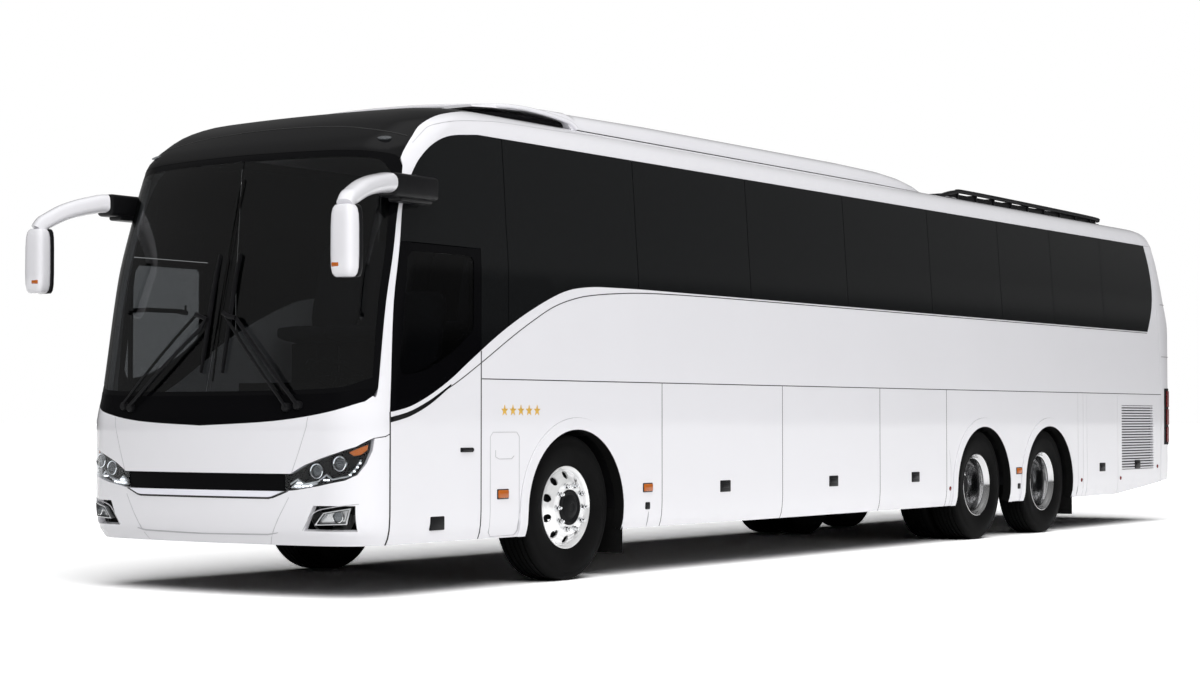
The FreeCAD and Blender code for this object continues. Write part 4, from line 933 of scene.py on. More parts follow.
for side, tag in sideName.items():
    for key, (line, width) in seams.items():
        pale = key.startswith(("bay", "arch"))
        strip(f"seam_{key}_{tag}", alongSide(line), width, paleJointAndCreaseShade if pale else seamLine, side=side,
              lift=0.0012 if pale else 0.0008)
    # flap ahead of the front wheel
    if side == left:
        y0, y1, z0, z1, r = flap.values()
        ring = [(y0 + r, z0), (y1 - r, z0), (y1, z0 + r), (y1, z1 - r), (y1 - r, z1), (y0 + r, z1),
                (y0, z1 - r), (y0, z0 + r), (y0 + r, z0)]
        strip("flap_outline", alongSide(ring), 0.004, paleJointAndCreaseShade, closed=True)
        strip("flap_pull", alongSide([(y0 + 0.06, 0.94), (y0 + 0.06, 0.895), (y0 + 0.1, 0.88),
                                      (y1 - 0.09, 0.88), (y1 - 0.06, 0.9)]), 0.005, paleJointAndCreaseShade)
    # raised lip and dark bead round each arch, with a pale line of painted shade along the crease at the
    # lip's outer edge
    for key, centre in (("front", axleY), ("drive", driveY), ("tag", tagY)):
        inner = archLine(centre, archRadius - 0.002, skirtZ + 0.001)
        outer = archLine(centre, archRadius + 0.085, skirtZ + 0.001)
        loop = facing(side, alongSide(outer + inner[::-1] + outer[:1]))
        panel(f"arch_lip_{key}_{tag}", [loop], whitePaint, thick=0.018, lift=0.009, step=(0.05, 0.03))
        # pale line of painted shade along the crease round the lip
        strip(f"arch_crease_shade_{key}_{tag}", alongSide(archLine(centre, archRadius + 0.087,
              skirtZ + 0.14)[1:-1]), 0.003, paleJointAndCreaseShade, side=side)
        strip(f"arch_bead_{key}_{tag}", alongSide(archLine(centre, archRadius - 0.001, skirtZ - 0.001)),
              0.01, rubber, lift=0.007, thick=0.075, side=side)

latches = {"luggage_lid_front": (2.092, 0.624), "luggage_lid_middle": (3.873, 0.624),
           "luggage_lid_rear": (5.423, 0.626), "service_lid": (9.847, 0.639),
           "engine_side_lid": (10.855, 0.654)}
for side, tag in sideName.items():
    for lid, (y, z) in latches.items():
        if lid == "service_lid" and side == right:
            continue
        spot = sidePoint(y, z)
        case = sideBox(y, z, 0.02, 0.006, 0.078, 0.046, 0.007)
        pull = rounded((spot.x - 0.002, spot.y - 0.05, z - 0.012),
                       (spot.x + 0.011, spot.y + 0.05, z + 0.02), 0.005)
        finishMesh(f"{lid}_latch_{tag}", *onSide(side, joined(case, pull)), blackPlastic, f"{lid}_{tag}")
finishMesh("driver_door_step_pull", *sideBox(-1.562, 0.467, 0.02, 0.006, 0.075, 0.046, 0.007), blackPlastic,
           "driver_door")
for side, door in doorName.items():
    a = sidePoint(-1.323, 0.95)
    b = sidePoint(-1.177, 0.942)
    plate = rounded((a.x - 0.01, a.y + 0.004, 0.93), (a.x + 0.004, b.y, 0.962), 0.006)
    lever = rounded((a.x + 0.003, a.y + 0.01, 0.938), (a.x + 0.02, b.y - 0.03, 0.954), 0.006)
    lock = turned(mm((-10, 12), (10, 12), (13, 8), (13, 0)), (a.x, b.y - 0.014, 0.947), 1, 20, False)
    finishMesh(f"{door}_handle", *onSide(side, joined(plate, lever, lock)), blackPlastic, door)

markers = mm((-844, 640), (971, 640), (7697, 640))
reflectorSpots = mm((6143, 503), (9280, 514), (10360, 511), (11454, 620))
reflectorRows = mm((-10, 20), (4, 20), (7, 16), (8, 0))
plugSpots = mm((971, 505), (7700, 490))
for side, tag in sideName.items():
    bezels = [sideBox(y, z, 0.01, 0.005, 0.066, 0.035, 0.006) for y, z in markers]
    lenses = [sideBox(y, z, 0.01, 0.014, 0.058, 0.028, 0.009) for y, z in markers]
    sidePiece("side_marker_bezels", side, joined(*bezels), blackPlastic)
    sidePiece("side_markers", side, joined(*lenses), amber)
    dots = [turned(reflectorRows, sidePoint(y, z), 1, 24, False) for y, z in reflectorSpots]
    caps = [sideBox(y, z, 0.01, 0.006, 0.032, 0.028, 0.012) for y, z in plugSpots]
    # the reflectors share the red lamp lens and so its faint glow, a painted glow on parts that are no lamps
    sidePiece("side_reflectors", side, joined(*dots), redLens)
    sidePiece("side_plugs", side, joined(*caps), blackPlastic)

# dark line that bounds the white band under the glass, and the black wedge at its front end
bandLow = smoothLine(mm((-1500, 1336), (-1324, 1414), (-1067, 1545), (-725, 1726), (-490, 1840),
                        (-250, 1943), (-3, 2010), (250, 2049), (687, 2083), (1143, 2099), (1900, 2106)), 6)
for side, tag in sideName.items():
    line = clipAt(bandLow, doorRear + 0.006) + [(11.17, 2.106)]
    strip(f"band_line_{tag}", alongSide(line), 0.007, seamLine, side=side)
    node = doorName[side]
    line = clipBefore(bandLow, doorRear - 0.006)
    strip(f"band_line_door_{tag}", alongSide(line), 0.007, seamLine, side=side, body=node)
    low = smoothLine(mm((-2045, 1132), (-1850, 1172), (-1640, 1252), (-1420, 1372)), 6)
    high = smoothLine(mm((-2045, 1166), (-1850, 1205), (-1640, 1280), (-1420, 1385)), 6)
    loop = facing(side, alongSide(low + high[::-1] + low[:1]))
    panel(f"door_wedge_{tag}", [loop], blackPaint, node, None, thick=0.02, lift=0.0015, step=(0.03, 0.01))

# five small stars, raised to a point in the middle
star = {"outer": 0.04, "inner": 0.016, "proud": 0.003, "sunk": 0.004, "peak": 0.005}
starSpots = mm((-826, 1211), (-730, 1212), (-637, 1212), (-541, 1212), (-446, 1212))
stars = []
for y, z in starSpots:
    verts = []
    spot = sidePoint(y, z)
    for depth in (star["proud"], -star["sunk"]):
        for i in range(10):
            radius = star["outer"] if i % 2 == 0 else star["inner"]
            a = math.pi / 2 + math.pi * i / 5
            verts.append(Vector((spot.x + depth, spot.y + radius * math.cos(a), z + radius * math.sin(a))))
    peak = len(verts)
    verts.append(Vector((spot.x + star["peak"], spot.y, z)))
    polys = [(i, (i + 1) % 10, peak) for i in range(10)] + [tuple(range(19, 9, -1))]
    polys += [(i, 10 + i, 10 + (i + 1) % 10, (i + 1) % 10) for i in range(10)]
    stars.append((verts, polys))
finishMesh("stars", *joined(*stars), gold, sharp=0.2)

# slats of the engine's side grille
grille = {"slats": 24, "low": 0.6, "height": 0.7, "front": 10.4, "rear": 11.34}
backLoop = mm((10380, 580), (11360, 580), (11360, 1320), (10380, 1320), (10380, 580))
for side, tag in sideName.items():
    panel(f"engine_grille_back_{tag}", [facing(side, alongSide(backLoop))], blackPlastic,
          f"engine_side_lid_{tag}", None, thick=0.004, lift=-0.036)
    slats = []
    for i in range(grille["slats"]):
        z = grille["low"] + (i + 0.5) * grille["height"] / grille["slats"]
        x = halfWidth
        ends = (axleY + grille["front"], axleY + grille["rear"])
        profile = [(x - 0.001, z - 0.008), (x - 0.002, z + 0.008), (x - 0.026, z + 0.011),
                   (x - 0.026, z + 0.005)]
        verts = [Vector((px, y, pz)) for y in ends for px, pz in profile]
        polys = [(0, 1, 2, 3), (7, 6, 5, 4)] + [(k, k + 4, (k + 1) % 4 + 4, (k + 1) % 4) for k in range(4)]
        slats.append((verts, polys))
    sidePiece("engine_grille_slats", side, joined(*slats), whitePaint, f"engine_side_lid_{tag}", sharp=0.3)
print("side trims ready")


# wheels
# offset at a radius, along rows of (radius, offset)
def profileAt(rows, r):
    for (r0, o0), (r1, o1) in zip(rows, rows[1:]):
        if r0 <= r <= r1:
            t = (r - r0) / (r1 - r0)
            t = t * t * (3 - 2 * t)
            return o0 + (o1 - o0) * t
    return rows[0][1] if r < rows[0][0] else rows[-1][1]


# a dished disc with a ring of round holes; rows are (radius, offset)
def holedDisc(name, rows, centre, side, inner, outerRadius, ring, holeRadius, material, body, node=None,
              thick=0.012, holes=10):
    points, edges, rings = [], [], []

    def circle(cu, cv, radius, count):
        start = len(points)
        for i in range(count):
            a = 2 * math.pi * i / count
            points.append((cu + radius * math.cos(a), cv + radius * math.sin(a)))
        if start:
            rings.append(points[start:])
        edges.extend((start + i, start + (i + 1) % count) for i in range(count))

    circle(0, 0, outerRadius, 90)
    circle(0, 0, inner, 60)
    spots = []
    for i in range(holes):
        a = 2 * math.pi * (i + 0.5) / holes
        spots.append((ring * math.cos(a), ring * math.sin(a)))
        circle(*spots[-1], holeRadius, 24)
    radii = sorted({round(inner + (outerRadius - inner) * i / 16, 4) for i in range(1, 16)})
    for r in radii:
        for i in range(80):
            a = 2 * math.pi * i / 80
            p = (r * math.cos(a), r * math.sin(a))
            if all(math.dist(p, s) > holeRadius + 0.005 for s in spots):
                points.append(p)

    def place(c):
        r = math.hypot(c[0], c[1])
        slope = (profileAt(rows, r + 0.002) - profileAt(rows, r - 0.002)) / 0.004
        spot = Vector((centre[0] + side * profileAt(rows, r), centre[1] + c[0], centre[2] + c[1]))
        normal = Vector((side, -slope * c[0] / r, -slope * c[1] / r)).normalized()
        return spot, normal

    return solidSheet(name, points, edges, place, thick, material, body, node, rings)


# half of the tyre's section, from the bead round the side wall and over the grooved tread
tyreRows = mm((104, 274), (113, 286), (120, 299), (131, 320), (142.5, 356), (148.5, 400), (148.5, 425),
              (145.5, 452), (142.5, 458), (140.5, 470), (138, 490), (133, 505), (124, 514.5), (108, 518.5),
              (90, 519.8), (88, 508), (78, 508), (76, 520.5), (46, 521.5), (44, 508), (34, 508), (32, 522),
              (7, 522), (5, 508))
tyreRows += [(-offset, radius) for offset, radius in reversed(tyreRows)]
lipRows = mm((85, 254), (96, 266), (108, 272), (116, 278), (121, 286), (128, 291), (126.5, 295),
             (120, 295.5), (115, 290), (110, 277), (80, 275))


# ten nuts with their washers and studs
def boltRing(centre, side, ring, face, nutLength, studLength):
    shapes = []
    for i in range(10):
        a = 2 * math.pi * i / 10
        spot = (centre[0] + side * face, centre[1] + ring * math.cos(a), centre[2] + ring * math.sin(a))
        shapes.append(turned(mm((-4, 21.5), (4, 21.5), (6, 19.5), (0, 0)), spot, side, 24, False))
        shapes.append(turned([(0.0, 0.0175), (nutLength - 0.004, 0.0175), (nutLength, 0.0145),
                              (nutLength, 0.0)], spot, side, 6, False))
        shapes.append(turned([(nutLength - 0.002, 0.0105), (studLength - 0.003, 0.0105),
                              (studLength, 0.008), (studLength, 0.0)], spot, side, 16, False))
    return joined(*shapes)


# the disc's sizes are its inner and outer radius, the ring of its holes and their radius
frontWheel = {
    "metal": alloy,
    "barrel": lipRows + mm((-106, 274), (-114, 286), (-122, 295), (-126, 290), (-112, 276), (-100, 258)),
    "disc": mm((120, 152), (186, 152), (195, 148), (204, 130), (222, 121), (250, 106), (268, 94)),
    "discSizes": (0.122, 0.268, 0.232, 0.03),
    "drum": mm((88, 196), (78, 262), (20, 262), (20, 196)),
    "hub": mm((145, 128), (158, 127), (163, 122), (163, 112), (156, 106), (154, 88), (158, 82), (172, 70),
              (178, 52), (178, 30), (174, 26), (174, 0)),
    "nuts": (0.161, 0.152, 0.03, 0.048),
}
rearWheel = {
    "metal": shadedDishAlloy,
    "barrel": mm((-122, 288), (-112, 274), (-100, 252), (-20, 246), (60, 246), (68, 250), (84, 252),
                 (92, 262), (106, 269)) + lipRows[3:] + mm((-106, 274), (-114, 286), (-120, 294)),
    "disc": mm((95, -150), (184, -150), (192, -146), (202, -128), (226, -118), (247, -98)),
    "discSizes": (0.1, 0.2465, 0.217, 0.026),
    "drum": mm((-165, 190), (-175, 243), (-220, 243), (-220, 190)),
    "hub": mm((-152, 118), (-110, 116), (-85, 104), (-20, 100), (-10, 93), (-10, 70), (0, 60), (4, 35),
              (4, 0)),
    "nuts": (0.158, -0.15, 0.03, 0.052),
}
wheelX = halfWidth - 0.04 - 0.149
for key, y in (("front", axleY), ("drive", driveY), ("tag", tagY)):
    for side, tag in sideName.items():
        body, tyreNode, rimNode = f"wheel_{key}_{tag}", f"tyre_{key}_{tag}", f"rim_{key}_{tag}"
        centre = (side * wheelX, y, tyreRadius)
        inner = (side * (wheelX - 0.33), y, tyreRadius)
        shapes = [turned(tyreRows, centre, side, 96)]
        if key == "drive":
            shapes.append(turned(tyreRows, inner, side, 96))
        finishMesh(f"{tyreNode}_rubber", *joined(*shapes), tyreRubber, body, tyreNode, sharp=0.9)
        kind = frontWheel if key == "front" else rearWheel
        parts = [turned(kind["barrel"], centre, side, 96)]
        if key == "drive":
            parts.append(turned([(-offset, radius) for offset, radius in kind["barrel"]], inner, side, 96))
        finishMesh(f"{rimNode}_barrel", *joined(*parts), kind["metal"], body, rimNode, sharp=0.5)
        holedDisc(f"{rimNode}_disc", kind["disc"], centre, side, *kind["discSizes"], kind["metal"], body,
                  rimNode)
        for part, rows, closed in (("drum", kind["drum"], True), ("hub", kind["hub"], False)):
            finishMesh(f"{rimNode}_{part}", *turned(rows, centre, side, 64, closed), blackSteel, body,
                       rimNode)
        finishMesh(f"{rimNode}_nuts", *boltRing(centre, side, *kind["nuts"]), chrome, body, rimNode)
print("wheels ready")

# mirrors: where each head stands, its sections (height, half width, half depth) and the arm's fall
mirror = {
    "heads": {left: (1.5, -7.28), right: (1.47, -7.06)},
    "sections": mm((2022, 52, 34), (2028, 64, 44), (2045, 76, 53), (2080, 84, 58), (2160, 87, 60),
                   (2340, 86, 60), (2410, 83, 57), (2445, 76, 51), (2463, 64, 42), (2470, 50, 30)),
    "arm": [(0.0, 2.668), (0.1, 2.664), (0.206, 2.652), (0.375, 2.63), (0.512, 2.608), (0.65, 2.58),
            (0.762, 2.55), (0.869, 2.518), (0.938, 2.496), (1.0, 2.452)],
}
headRows = mirror["sections"]
for side, tag in sideName.items():
    hx, hy = mirror["heads"][side]
    head = lofted([(z, w, d, hx, hy) for z, w, d in headRows], 0.55)
    rear = lofted([(z, w * 1.02, 0.02, hx, hy + 0.058) for z, w, d in headRows], 0.45)
    mirrorGlass = lofted([(z, w * 0.86, 0.003, hx, hy + 0.079) for z, w, d in headRows[2:-2]], 0.45)
    sidePiece("mirror_head", side, head, whitePaint, node="mirrors", sharp=1.0)
    sidePiece("mirror_frame", side, rear, blackPlastic, node="mirrors", sharp=1.0)
    sidePiece("mirror_glass", side, mirrorGlass, chrome, node="mirrors", sharp=0.8)
    startY = axleY - 2.118
    dx, dy = hx - 1.285, hy + 6.6
    line = smoothLine([(1.285 + dx * t, -6.6 + dy * t, z + 0.012 * t) for t, z in mirror["arm"]], 5)
    sizes = []
    for i in range(len(line)):
        t = i / (len(line) - 1)
        sizes.append((0.074 - 0.022 * t, 0.066 - 0.016 * t))
    sidePiece("mirror_arm", side, swept(line, sizes, 32, (0, 0, 1), 0.7), whitePaint, node="mirrors",
              sharp=1.0)
    foot = rounded((1.205, startY + 0.006, 2.58), (1.362, axleY - 1.652, 2.735), 0.03, 4)
    cheek = rounded((1.215, startY + 0.1, 2.556), (1.335, axleY - 1.69, 2.6), 0.016, 3)
    sidePiece("mirror_foot", side, joined(foot, cheek), blackPlastic, node="mirrors", sharp=1.0)
    x, y, z = hx - 0.03, hy - 0.052, 2.098
    lampCase = rounded((x - 0.03, y - 0.008, z - 0.014), (x + 0.03, y + 0.02, z + 0.014), 0.006)
    sidePiece("mirror_repeater", side, lampCase, amber)
print("mirrors ready")

# wipers, each with two parallel rods and a blade that stands upright when parked
# feet and tops of the two rods, then the blade's low end, middle and high end
wipers = {
    "left": mm((700, 1228), (785, 1240), (102, 1848), (215, 1812), (140, 1452), (163, 1820), (158, 2245)),
    "right": mm((-778, 1240), (-700, 1228), (-145, 1842), (-78, 1756), (-50, 1455), (-35, 1810),
                (-20, 2243)),
}
for tag, (footA, footB, topA, topB, low, middle, high) in wipers.items():
    shapes = []
    for foot, top, width in ((footA, topA, 0.01), (footB, topB, 0.014)):
        line = [nosePoint(foot[0] + (top[0] - foot[0]) * k / 10, foot[1] + (top[1] - foot[1]) * k / 10,
                          0.03 + 0.012 * math.sin(math.pi * k / 10)) for k in range(11)]
        shapes.append(swept(line, (width, 0.008), 10, (0, -1, 0.2), 0.7))
    for foot in (footA, footB):
        base = nosePoint(*foot)
        shapes.append(turned(mm((-20, 30), (22, 30), (34, 22), (36, 0)), base, 1, 24, False,
                             tilt=(0, -1, 0.05)))
    bracketLine = [nosePoint(topA[0], topA[1], 0.036), nosePoint(middle[0], middle[1], 0.044),
                   nosePoint(topB[0], topB[1], 0.036)]
    shapes.append(swept(bracketLine, (0.016, 0.012), 10, (0, -1, 0.2), 0.7))
    line, sizes = [], []
    for k in range(17):
        t = k / 16
        x = low[0] + (high[0] - low[0]) * t
        z = low[1] + (high[1] - low[1]) * t
        line.append(nosePoint(x, z, 0.014))
        sizes.append((0.007 + 0.01 * math.sin(math.pi * t), 0.012))
    shapes.append(swept(line, sizes, 8, (0, -1, 0.2), 0.7))
    finishMesh(f"wiper_{tag}", *joined(*shapes), blackPlastic, "root", "wipers", sharp=0.7)
print("wipers ready")

# headlamps
ledLine = mm((1197, 893), (1170, 832), (1133, 787), (1040, 768), (999, 798), (940, 756), (836, 738),
             (789, 768), (735, 735))
amberLoop = mm((1140, 940), (1225, 988), (1222, 955), (1196, 925), (1165, 918), (1140, 940))
reflectorLoop = mm((735, 712), (790, 762), (850, 742), (930, 752), (930, 736), (800, 706), (735, 712))
projectors = mm((927, 820), (1091, 868))
ledSpots = mm((1190, 872), (1178, 846), (1163, 820), (1143, 797), (775, 722), (800, 722), (828, 722),
              (856, 724), (884, 728), (790, 742), (815, 742), (985, 764), (1010, 764))
for side, tag in sideName.items():
    noseSheet("lamp_well", side, [lampOuter], blackSatin, 0.012, -0.04, 0.03, "headlamps")
    noseSheet("lamp_cover", side, [lampOuter], clearCover, 0.003, -0.001, 0.03, "headlamps")
    noseSheet("lamp_turn", side, [amberLoop], amber, 0.012, -0.016)
    noseSheet("lamp_reflector", side, [reflectorLoop], silver, 0.012, -0.02)
    trim = [nosePoint(x, z, -0.018) for x, z in dense(ledLine, 0.02)]
    sidePiece("lamp_bow", side, swept(trim, (0.007, 0.006), 10, (0, 0, 1)), silver)
    leds = []
    for x, z in ledSpots:
        spot = nosePoint(x, z, -0.014)
        leds.append(rounded(spot - Vector((0.008, 0.004, 0.006)), spot + Vector((0.008, 0.01, 0.006)),
                            0.003, 2))
    sidePiece("lamp_leds", side, joined(*leds), whiteLed)
    rings, eyes = [], []
    for x, z in projectors:
        base = nosePoint(x, z, -0.034)
        aim = (0.1, -1.0, 0.0)
        rings.append(turned(mm((0, 50), (18, 50), (22, 46), (18, 41), (2, 38)), base, 1, 40, True, aim))
        eyes.append(turned(mm((0, 37), (8, 35), (15, 28), (19, 18), (21, 0)), base, 1, 32, False, aim))
    sidePiece("lamp_rings", side, joined(*rings), chrome)
    sidePiece("lamp_eyes", side, joined(*eyes), lensGlass)
    # fog lamp in its pocket
    pocket = mm((915, 475), (985, 556), (1150, 586), (1125, 482), (915, 475))
    hole = mm((934, 483), (991, 548), (1138, 574), (1117, 490), (934, 483))
    noseSheet("fog_shell", side, [hole], silver, 0.01, -0.024)
    strip(f"fog_edge_{tag}", alongNose(hole, 0.03), 0.004, seamLine, side=side, lift=0.0045, closed=True)
    # pale line of painted shade along the bumper's crease below the fog lamp pocket
    strip(f"fog_crease_shade_{tag}", alongNose(smoothLine(mm((822, 440), (917, 556), (1040, 590), (1185, 612)), 4),
          0.03), 0.005, paleJointAndCreaseShade, side=side)
    noseSheet("fog_rim", side, [pocket, hole], silver, 0.03, 0.003)
    base = nosePoint(1.08, 0.528, -0.02)
    lens = turned(mm((0, 32), (12, 32), (17, 27), (21, 16), (23, 0)), base, 1, 32, False, (0.25, -1.0, 0.0))
    ring = turned(mm((0, 38), (16, 38), (18, 34), (0, 33)), base, 1, 32, True, (0.25, -1.0, 0.0))
    sidePiece("fog_lens", side, lens, lensGlass)
    sidePiece("fog_ring", side, ring, chrome)
    for key, line in (("outer", mm((730, 650), (700, 600), (545, 345))),
                      ("nose", mm((750, 803), (800, 930), (860, 1100), (868, 1165)))):
        strip(f"bumper_seam_{key}_{tag}", alongNose(line, 0.05), 0.0035, paleJointAndCreaseShade, side=side)
trimLoop = mm((0, 652), (575, 652), (600, 656), (690, 690), (0, 690))
panel("grille_bright_bar", [around(alongNose(trimLoop))], brightTrim, thick=0.02, lift=0.01,
      step=(0.05, 0.01))
grooveLoop = mm((0, 638), (575, 638), (612, 645), (730, 689), (700, 691), (600, 654), (575, 650), (0, 650))
panel("grille_groove", [around(alongNose(grooveLoop))], seamLine, thick=0.01, lift=0.001, step=(0.05, 0.01))
# pale band of painted shade along the crease across the bumper
creaseShadeLoop = mm((0, 398), (550, 404), (625, 418), (635, 424), (550, 412), (0, 405))
panel("bumper_crease_shade", [around(alongNose(creaseShadeLoop))], paleJointAndCreaseShade, thick=0.006, lift=0.0015, step=(0.05, 0.01))
print("lamps and bumper ready")

# cap: seam above the windscreen and two small marker lamps
capSeam = smoothLine(mm((0, 3136), (300, 3130), (620, 3113), (875, 3077), (1050, 3045), (1145, 3020)), 6)
for side, tag in sideName.items():
    strip(f"cap_seam_{tag}", alongNose(capSeam), 0.007, seamLine, side=side, lift=0.001)
    spot = nosePoint(1.04, 3.003, 0.0)
    v = paramAt(3.003)
    aim = outward(fromX(1.04, v), v)
    lens = turned(mm((-6, 34), (4, 33), (10, 26), (13, 0)), (0, 0, 0), 1, 32, False, aim)
    flatLens = [Vector((spot.x + p.x * 1.5, spot.y + p.y * 1.2, spot.z + p.z * 0.62)) for p in lens[0]]
    sidePiece("cap_lamp", side, (flatLens, lens[1]), lensGlass)


# roof units
# sections along Y: (y, half width, top z, base z), from the left base over the top to the right base
def alongRoof(rows, square=0.42, sides=20):
    verts = []
    for y, w, top, base in rows:
        for k in range(sides + 1):
            c, s = squared(math.pi * k / sides, square)
            verts.append(Vector((w * c, y, base + (top - base) * abs(s))))
    return verts, quads(len(rows), sides + 1, capped=True)


podRows = [
    (axleY - 0.66, 0.86, 3.378, 3.355), (axleY - 0.5, 0.92, 3.392, 3.36), (axleY - 0.2, 0.96, 3.406, 3.366),
    (axleY + 0.1, 0.985, 3.42, 3.366), (axleY + 0.3, 0.998, 3.428, 3.34), (axleY + 0.42, 1.0, 3.434, 3.24),
    (axleY + 0.45, 1.0, 3.44, 3.24), (axleY + 1.5, 1.0, 3.456, 3.24), (axleY + 4.6, 1.0, 3.462, 3.24),
    (axleY + 5.35, 0.995, 3.452, 3.24), (axleY + 5.75, 0.985, 3.425, 3.24), (axleY + 6.05, 0.965, 3.38, 3.24),
    (axleY + 6.22, 0.945, 3.335, 3.24), (axleY + 6.29, 0.93, 3.3, 3.24),
]
finishMesh("roof_pod", *alongRoof(podRows, 0.36), whitePaint, node="roof_air_unit", sharp=1.2)
hoodRows = [(axleY - 0.66, 0.9, 3.335, 3.24), (axleY - 0.5, 0.94, 3.358, 3.24),
            (axleY - 0.2, 0.975, 3.378, 3.24), (axleY + 0.28, 0.985, 3.376, 3.24)]
finishMesh("roof_scoop", *alongRoof(hoodRows, 0.36), blackSatin, "root", "roof_air_unit", sharp=1.2)
lipHalf = smoothLine([(1.0, axleY + 0.42, 3.298), (0.995, axleY + 0.32, 3.34), (0.985, axleY + 0.02, 3.372),
                      (0.96, axleY - 0.26, 3.384), (0.9, axleY - 0.46, 3.378), (0.74, axleY - 0.6, 3.372),
                      (0.4, axleY - 0.68, 3.38), (0.0, axleY - 0.7, 3.384)], 6)
lipLine = lipHalf + [(-x, y, z) for x, y, z in reversed(lipHalf[:-1])]
finishMesh("roof_lip", *swept(lipLine, (0.022, 0.017), 16, (0, 0, 1), 0.85), whitePaint,
           node="roof_air_unit", sharp=1.2)
for side in (left, right):
    rail = [(1.002, axleY + 0.42, 3.288), (1.002, axleY + 2.5, 3.288), (1.0, axleY + 5.2, 3.288),
            (0.97, axleY + 6.05, 3.29), (0.945, axleY + 6.22, 3.294)]
    sidePiece("roof_pod_seam", side, swept(rail, (0.005, 0.004), 8), seamLine)
    # pale line of painted shade along the crease over the front of the side glass
    crease = mm((-1721, 2973), (-1639, 3037), (-1540, 3101), (-1400, 3140), (-1248, 3166), (-1000, 3192),
                (-735, 3212), (-246, 3221), (155, 3230), (600, 3246))
    strip(f"roof_crease_shade_{sideName[side]}", alongSide(smoothLine(crease, 5)), 0.004, paleJointAndCreaseShade, side=side)
rack = {"front": 6.75, "rear": 10.75, "bars": 9, "pitch": 0.42}
rackFront, rackRear = axleY + rack["front"], axleY + rack["rear"]
shapes = []
for side in (left, right):
    x = side * 0.87
    rail = smoothLine([(x, rackFront, 3.305), (x, rackFront + 0.35, 3.375), (x, rackFront + 0.8, 3.395),
                       (x, rackRear - 0.3, 3.372), (x, rackRear, 3.35)], 8)
    shapes.append(swept(rail, (0.018, 0.02), 10, (0, 0, 1), 0.6))
    low = [(x, rackFront + 0.1, 3.305), (x, rackRear, 3.305)]
    shapes.append(swept(low, (0.02, 0.012), 8, (0, 0, 1), 0.6))
for i in range(rack["bars"]):
    y = rackFront + 0.45 + i * rack["pitch"]
    shapes.append(rounded((-0.872, y - 0.014, 3.3), (0.872, y + 0.014, 3.384), 0.008, 2))
shapes.append(rounded((-0.855, rackFront + 0.3, 3.285), (0.855, rackRear, 3.366), 0.01, 2))
finishMesh("roof_rack", *joined(*shapes), blackPlastic, "root", "roof_rear_unit", sharp=0.7)
bump = alongRoof([(axleY + 6.78, 0.8, 3.295, 3.24), (axleY + 6.92, 0.885, 3.352, 3.24),
                  (axleY + 7.12, 0.9, 3.372, 3.24), (axleY + 7.32, 0.885, 3.35, 3.24),
                  (axleY + 7.4, 0.86, 3.3, 3.24)], 0.45)
tail = alongRoof([(rackRear - 0.12, 0.86, 3.32, 3.24), (rackRear + 0.02, 0.9, 3.352, 3.24),
                  (rackRear + 0.2, 0.89, 3.335, 3.24), (rackRear + 0.42, 0.86, 3.29, 3.24)], 0.45)
finishMesh("roof_fairings", *joined(bump, tail), whitePaint, "root", "roof_rear_unit", sharp=1.2)
print("roof units ready")

# tail lamps
for side, tag in sideName.items():
    v0, v1 = paramAt(0.862), paramAt(1.495)
    edge = [(fromY(axleY + 11.675, v0), v0), (3.85, v0), (3.85, v1), (fromY(axleY + 11.685, v1), v1)]
    edge = facing(side, dense(edge + edge[:1], 0.05))
    panel(f"tail_lamp_case_{tag}", [edge], blackSatin, "root", "tail_lamps", thick=0.03, lift=0.003,
          step=(0.04, 0.04))
    for i, (low, high) in enumerate(((0.89, 1.06), (1.085, 1.26), (1.285, 1.465))):
        w0, w1 = paramAt(low), paramAt(high)
        lens = [(2.998, w0), (3.75, w0), (3.75, w1), (2.998, w1), (2.998, w0)]
        lens = facing(side, dense(lens, 0.05))
        panel(f"tail_lens_{tag}_{i + 1}", [lens], redLens, thick=0.01, lift=0.01, step=(0.03, 0.03))
    for key, z in (("upper", 2.442), ("lower", 1.852)):
        v = paramAt(z)
        a = fromY(axleY + (11.62 if key == "upper" else 11.6), v)
        strip(f"tail_seam_{key}_{tag}", [(a + (3.95 - a) * k / 20, v) for k in range(21)], 0.005, seamLine,
              side=side)
print("tail ready")

# mudflaps behind the front and tag wheels
shapes = []
for y in (axleY + 0.648, tagY + 0.648):
    for side in (left, right):
        shapes.append(onSide(side, rounded((0.9, y - 0.006, 0.165), (1.262, y + 0.006, 0.7), 0.005, 2)))
finishMesh("mudflap_sheets", *joined(*shapes), rubber, "root", "mudflaps")


# seats
# a rounded cushion: size in three directions, swollen on its upper face, with sewn channels
def pillow(size, crown, channels, place):
    bm = bmesh.new()
    bmesh.ops.create_cube(bm, size=2.0)
    bmesh.ops.subdivide_edges(bm, edges=bm.edges[:], cuts=6, use_grid_fill=True)
    verts = []
    for vert in bm.verts:
        x, y, z = vert.co
        r = (abs(x) ** 5 + abs(y) ** 5 + abs(z) ** 5) ** 0.2
        x, y, z = x / r, y / r, z / r
        lift = crown * (1 - x * x) * (1 - y * y) if z > 0 else 0.0
        sewn = sum(0.008 * math.exp(-((x - c) / 0.07) ** 2) for c in channels) if z > 0 else 0.0
        pull = 1 - 0.035 * (1 - x * x) * y * y - 0.035 * (1 - y * y) * x * x
        verts.append(place(x * size[0] * pull, y * size[1] * pull, z * size[2] + lift - sewn))
    polys = [tuple(v.index for v in f.verts) for f in bm.faces]
    bm.free()
    return verts, polys


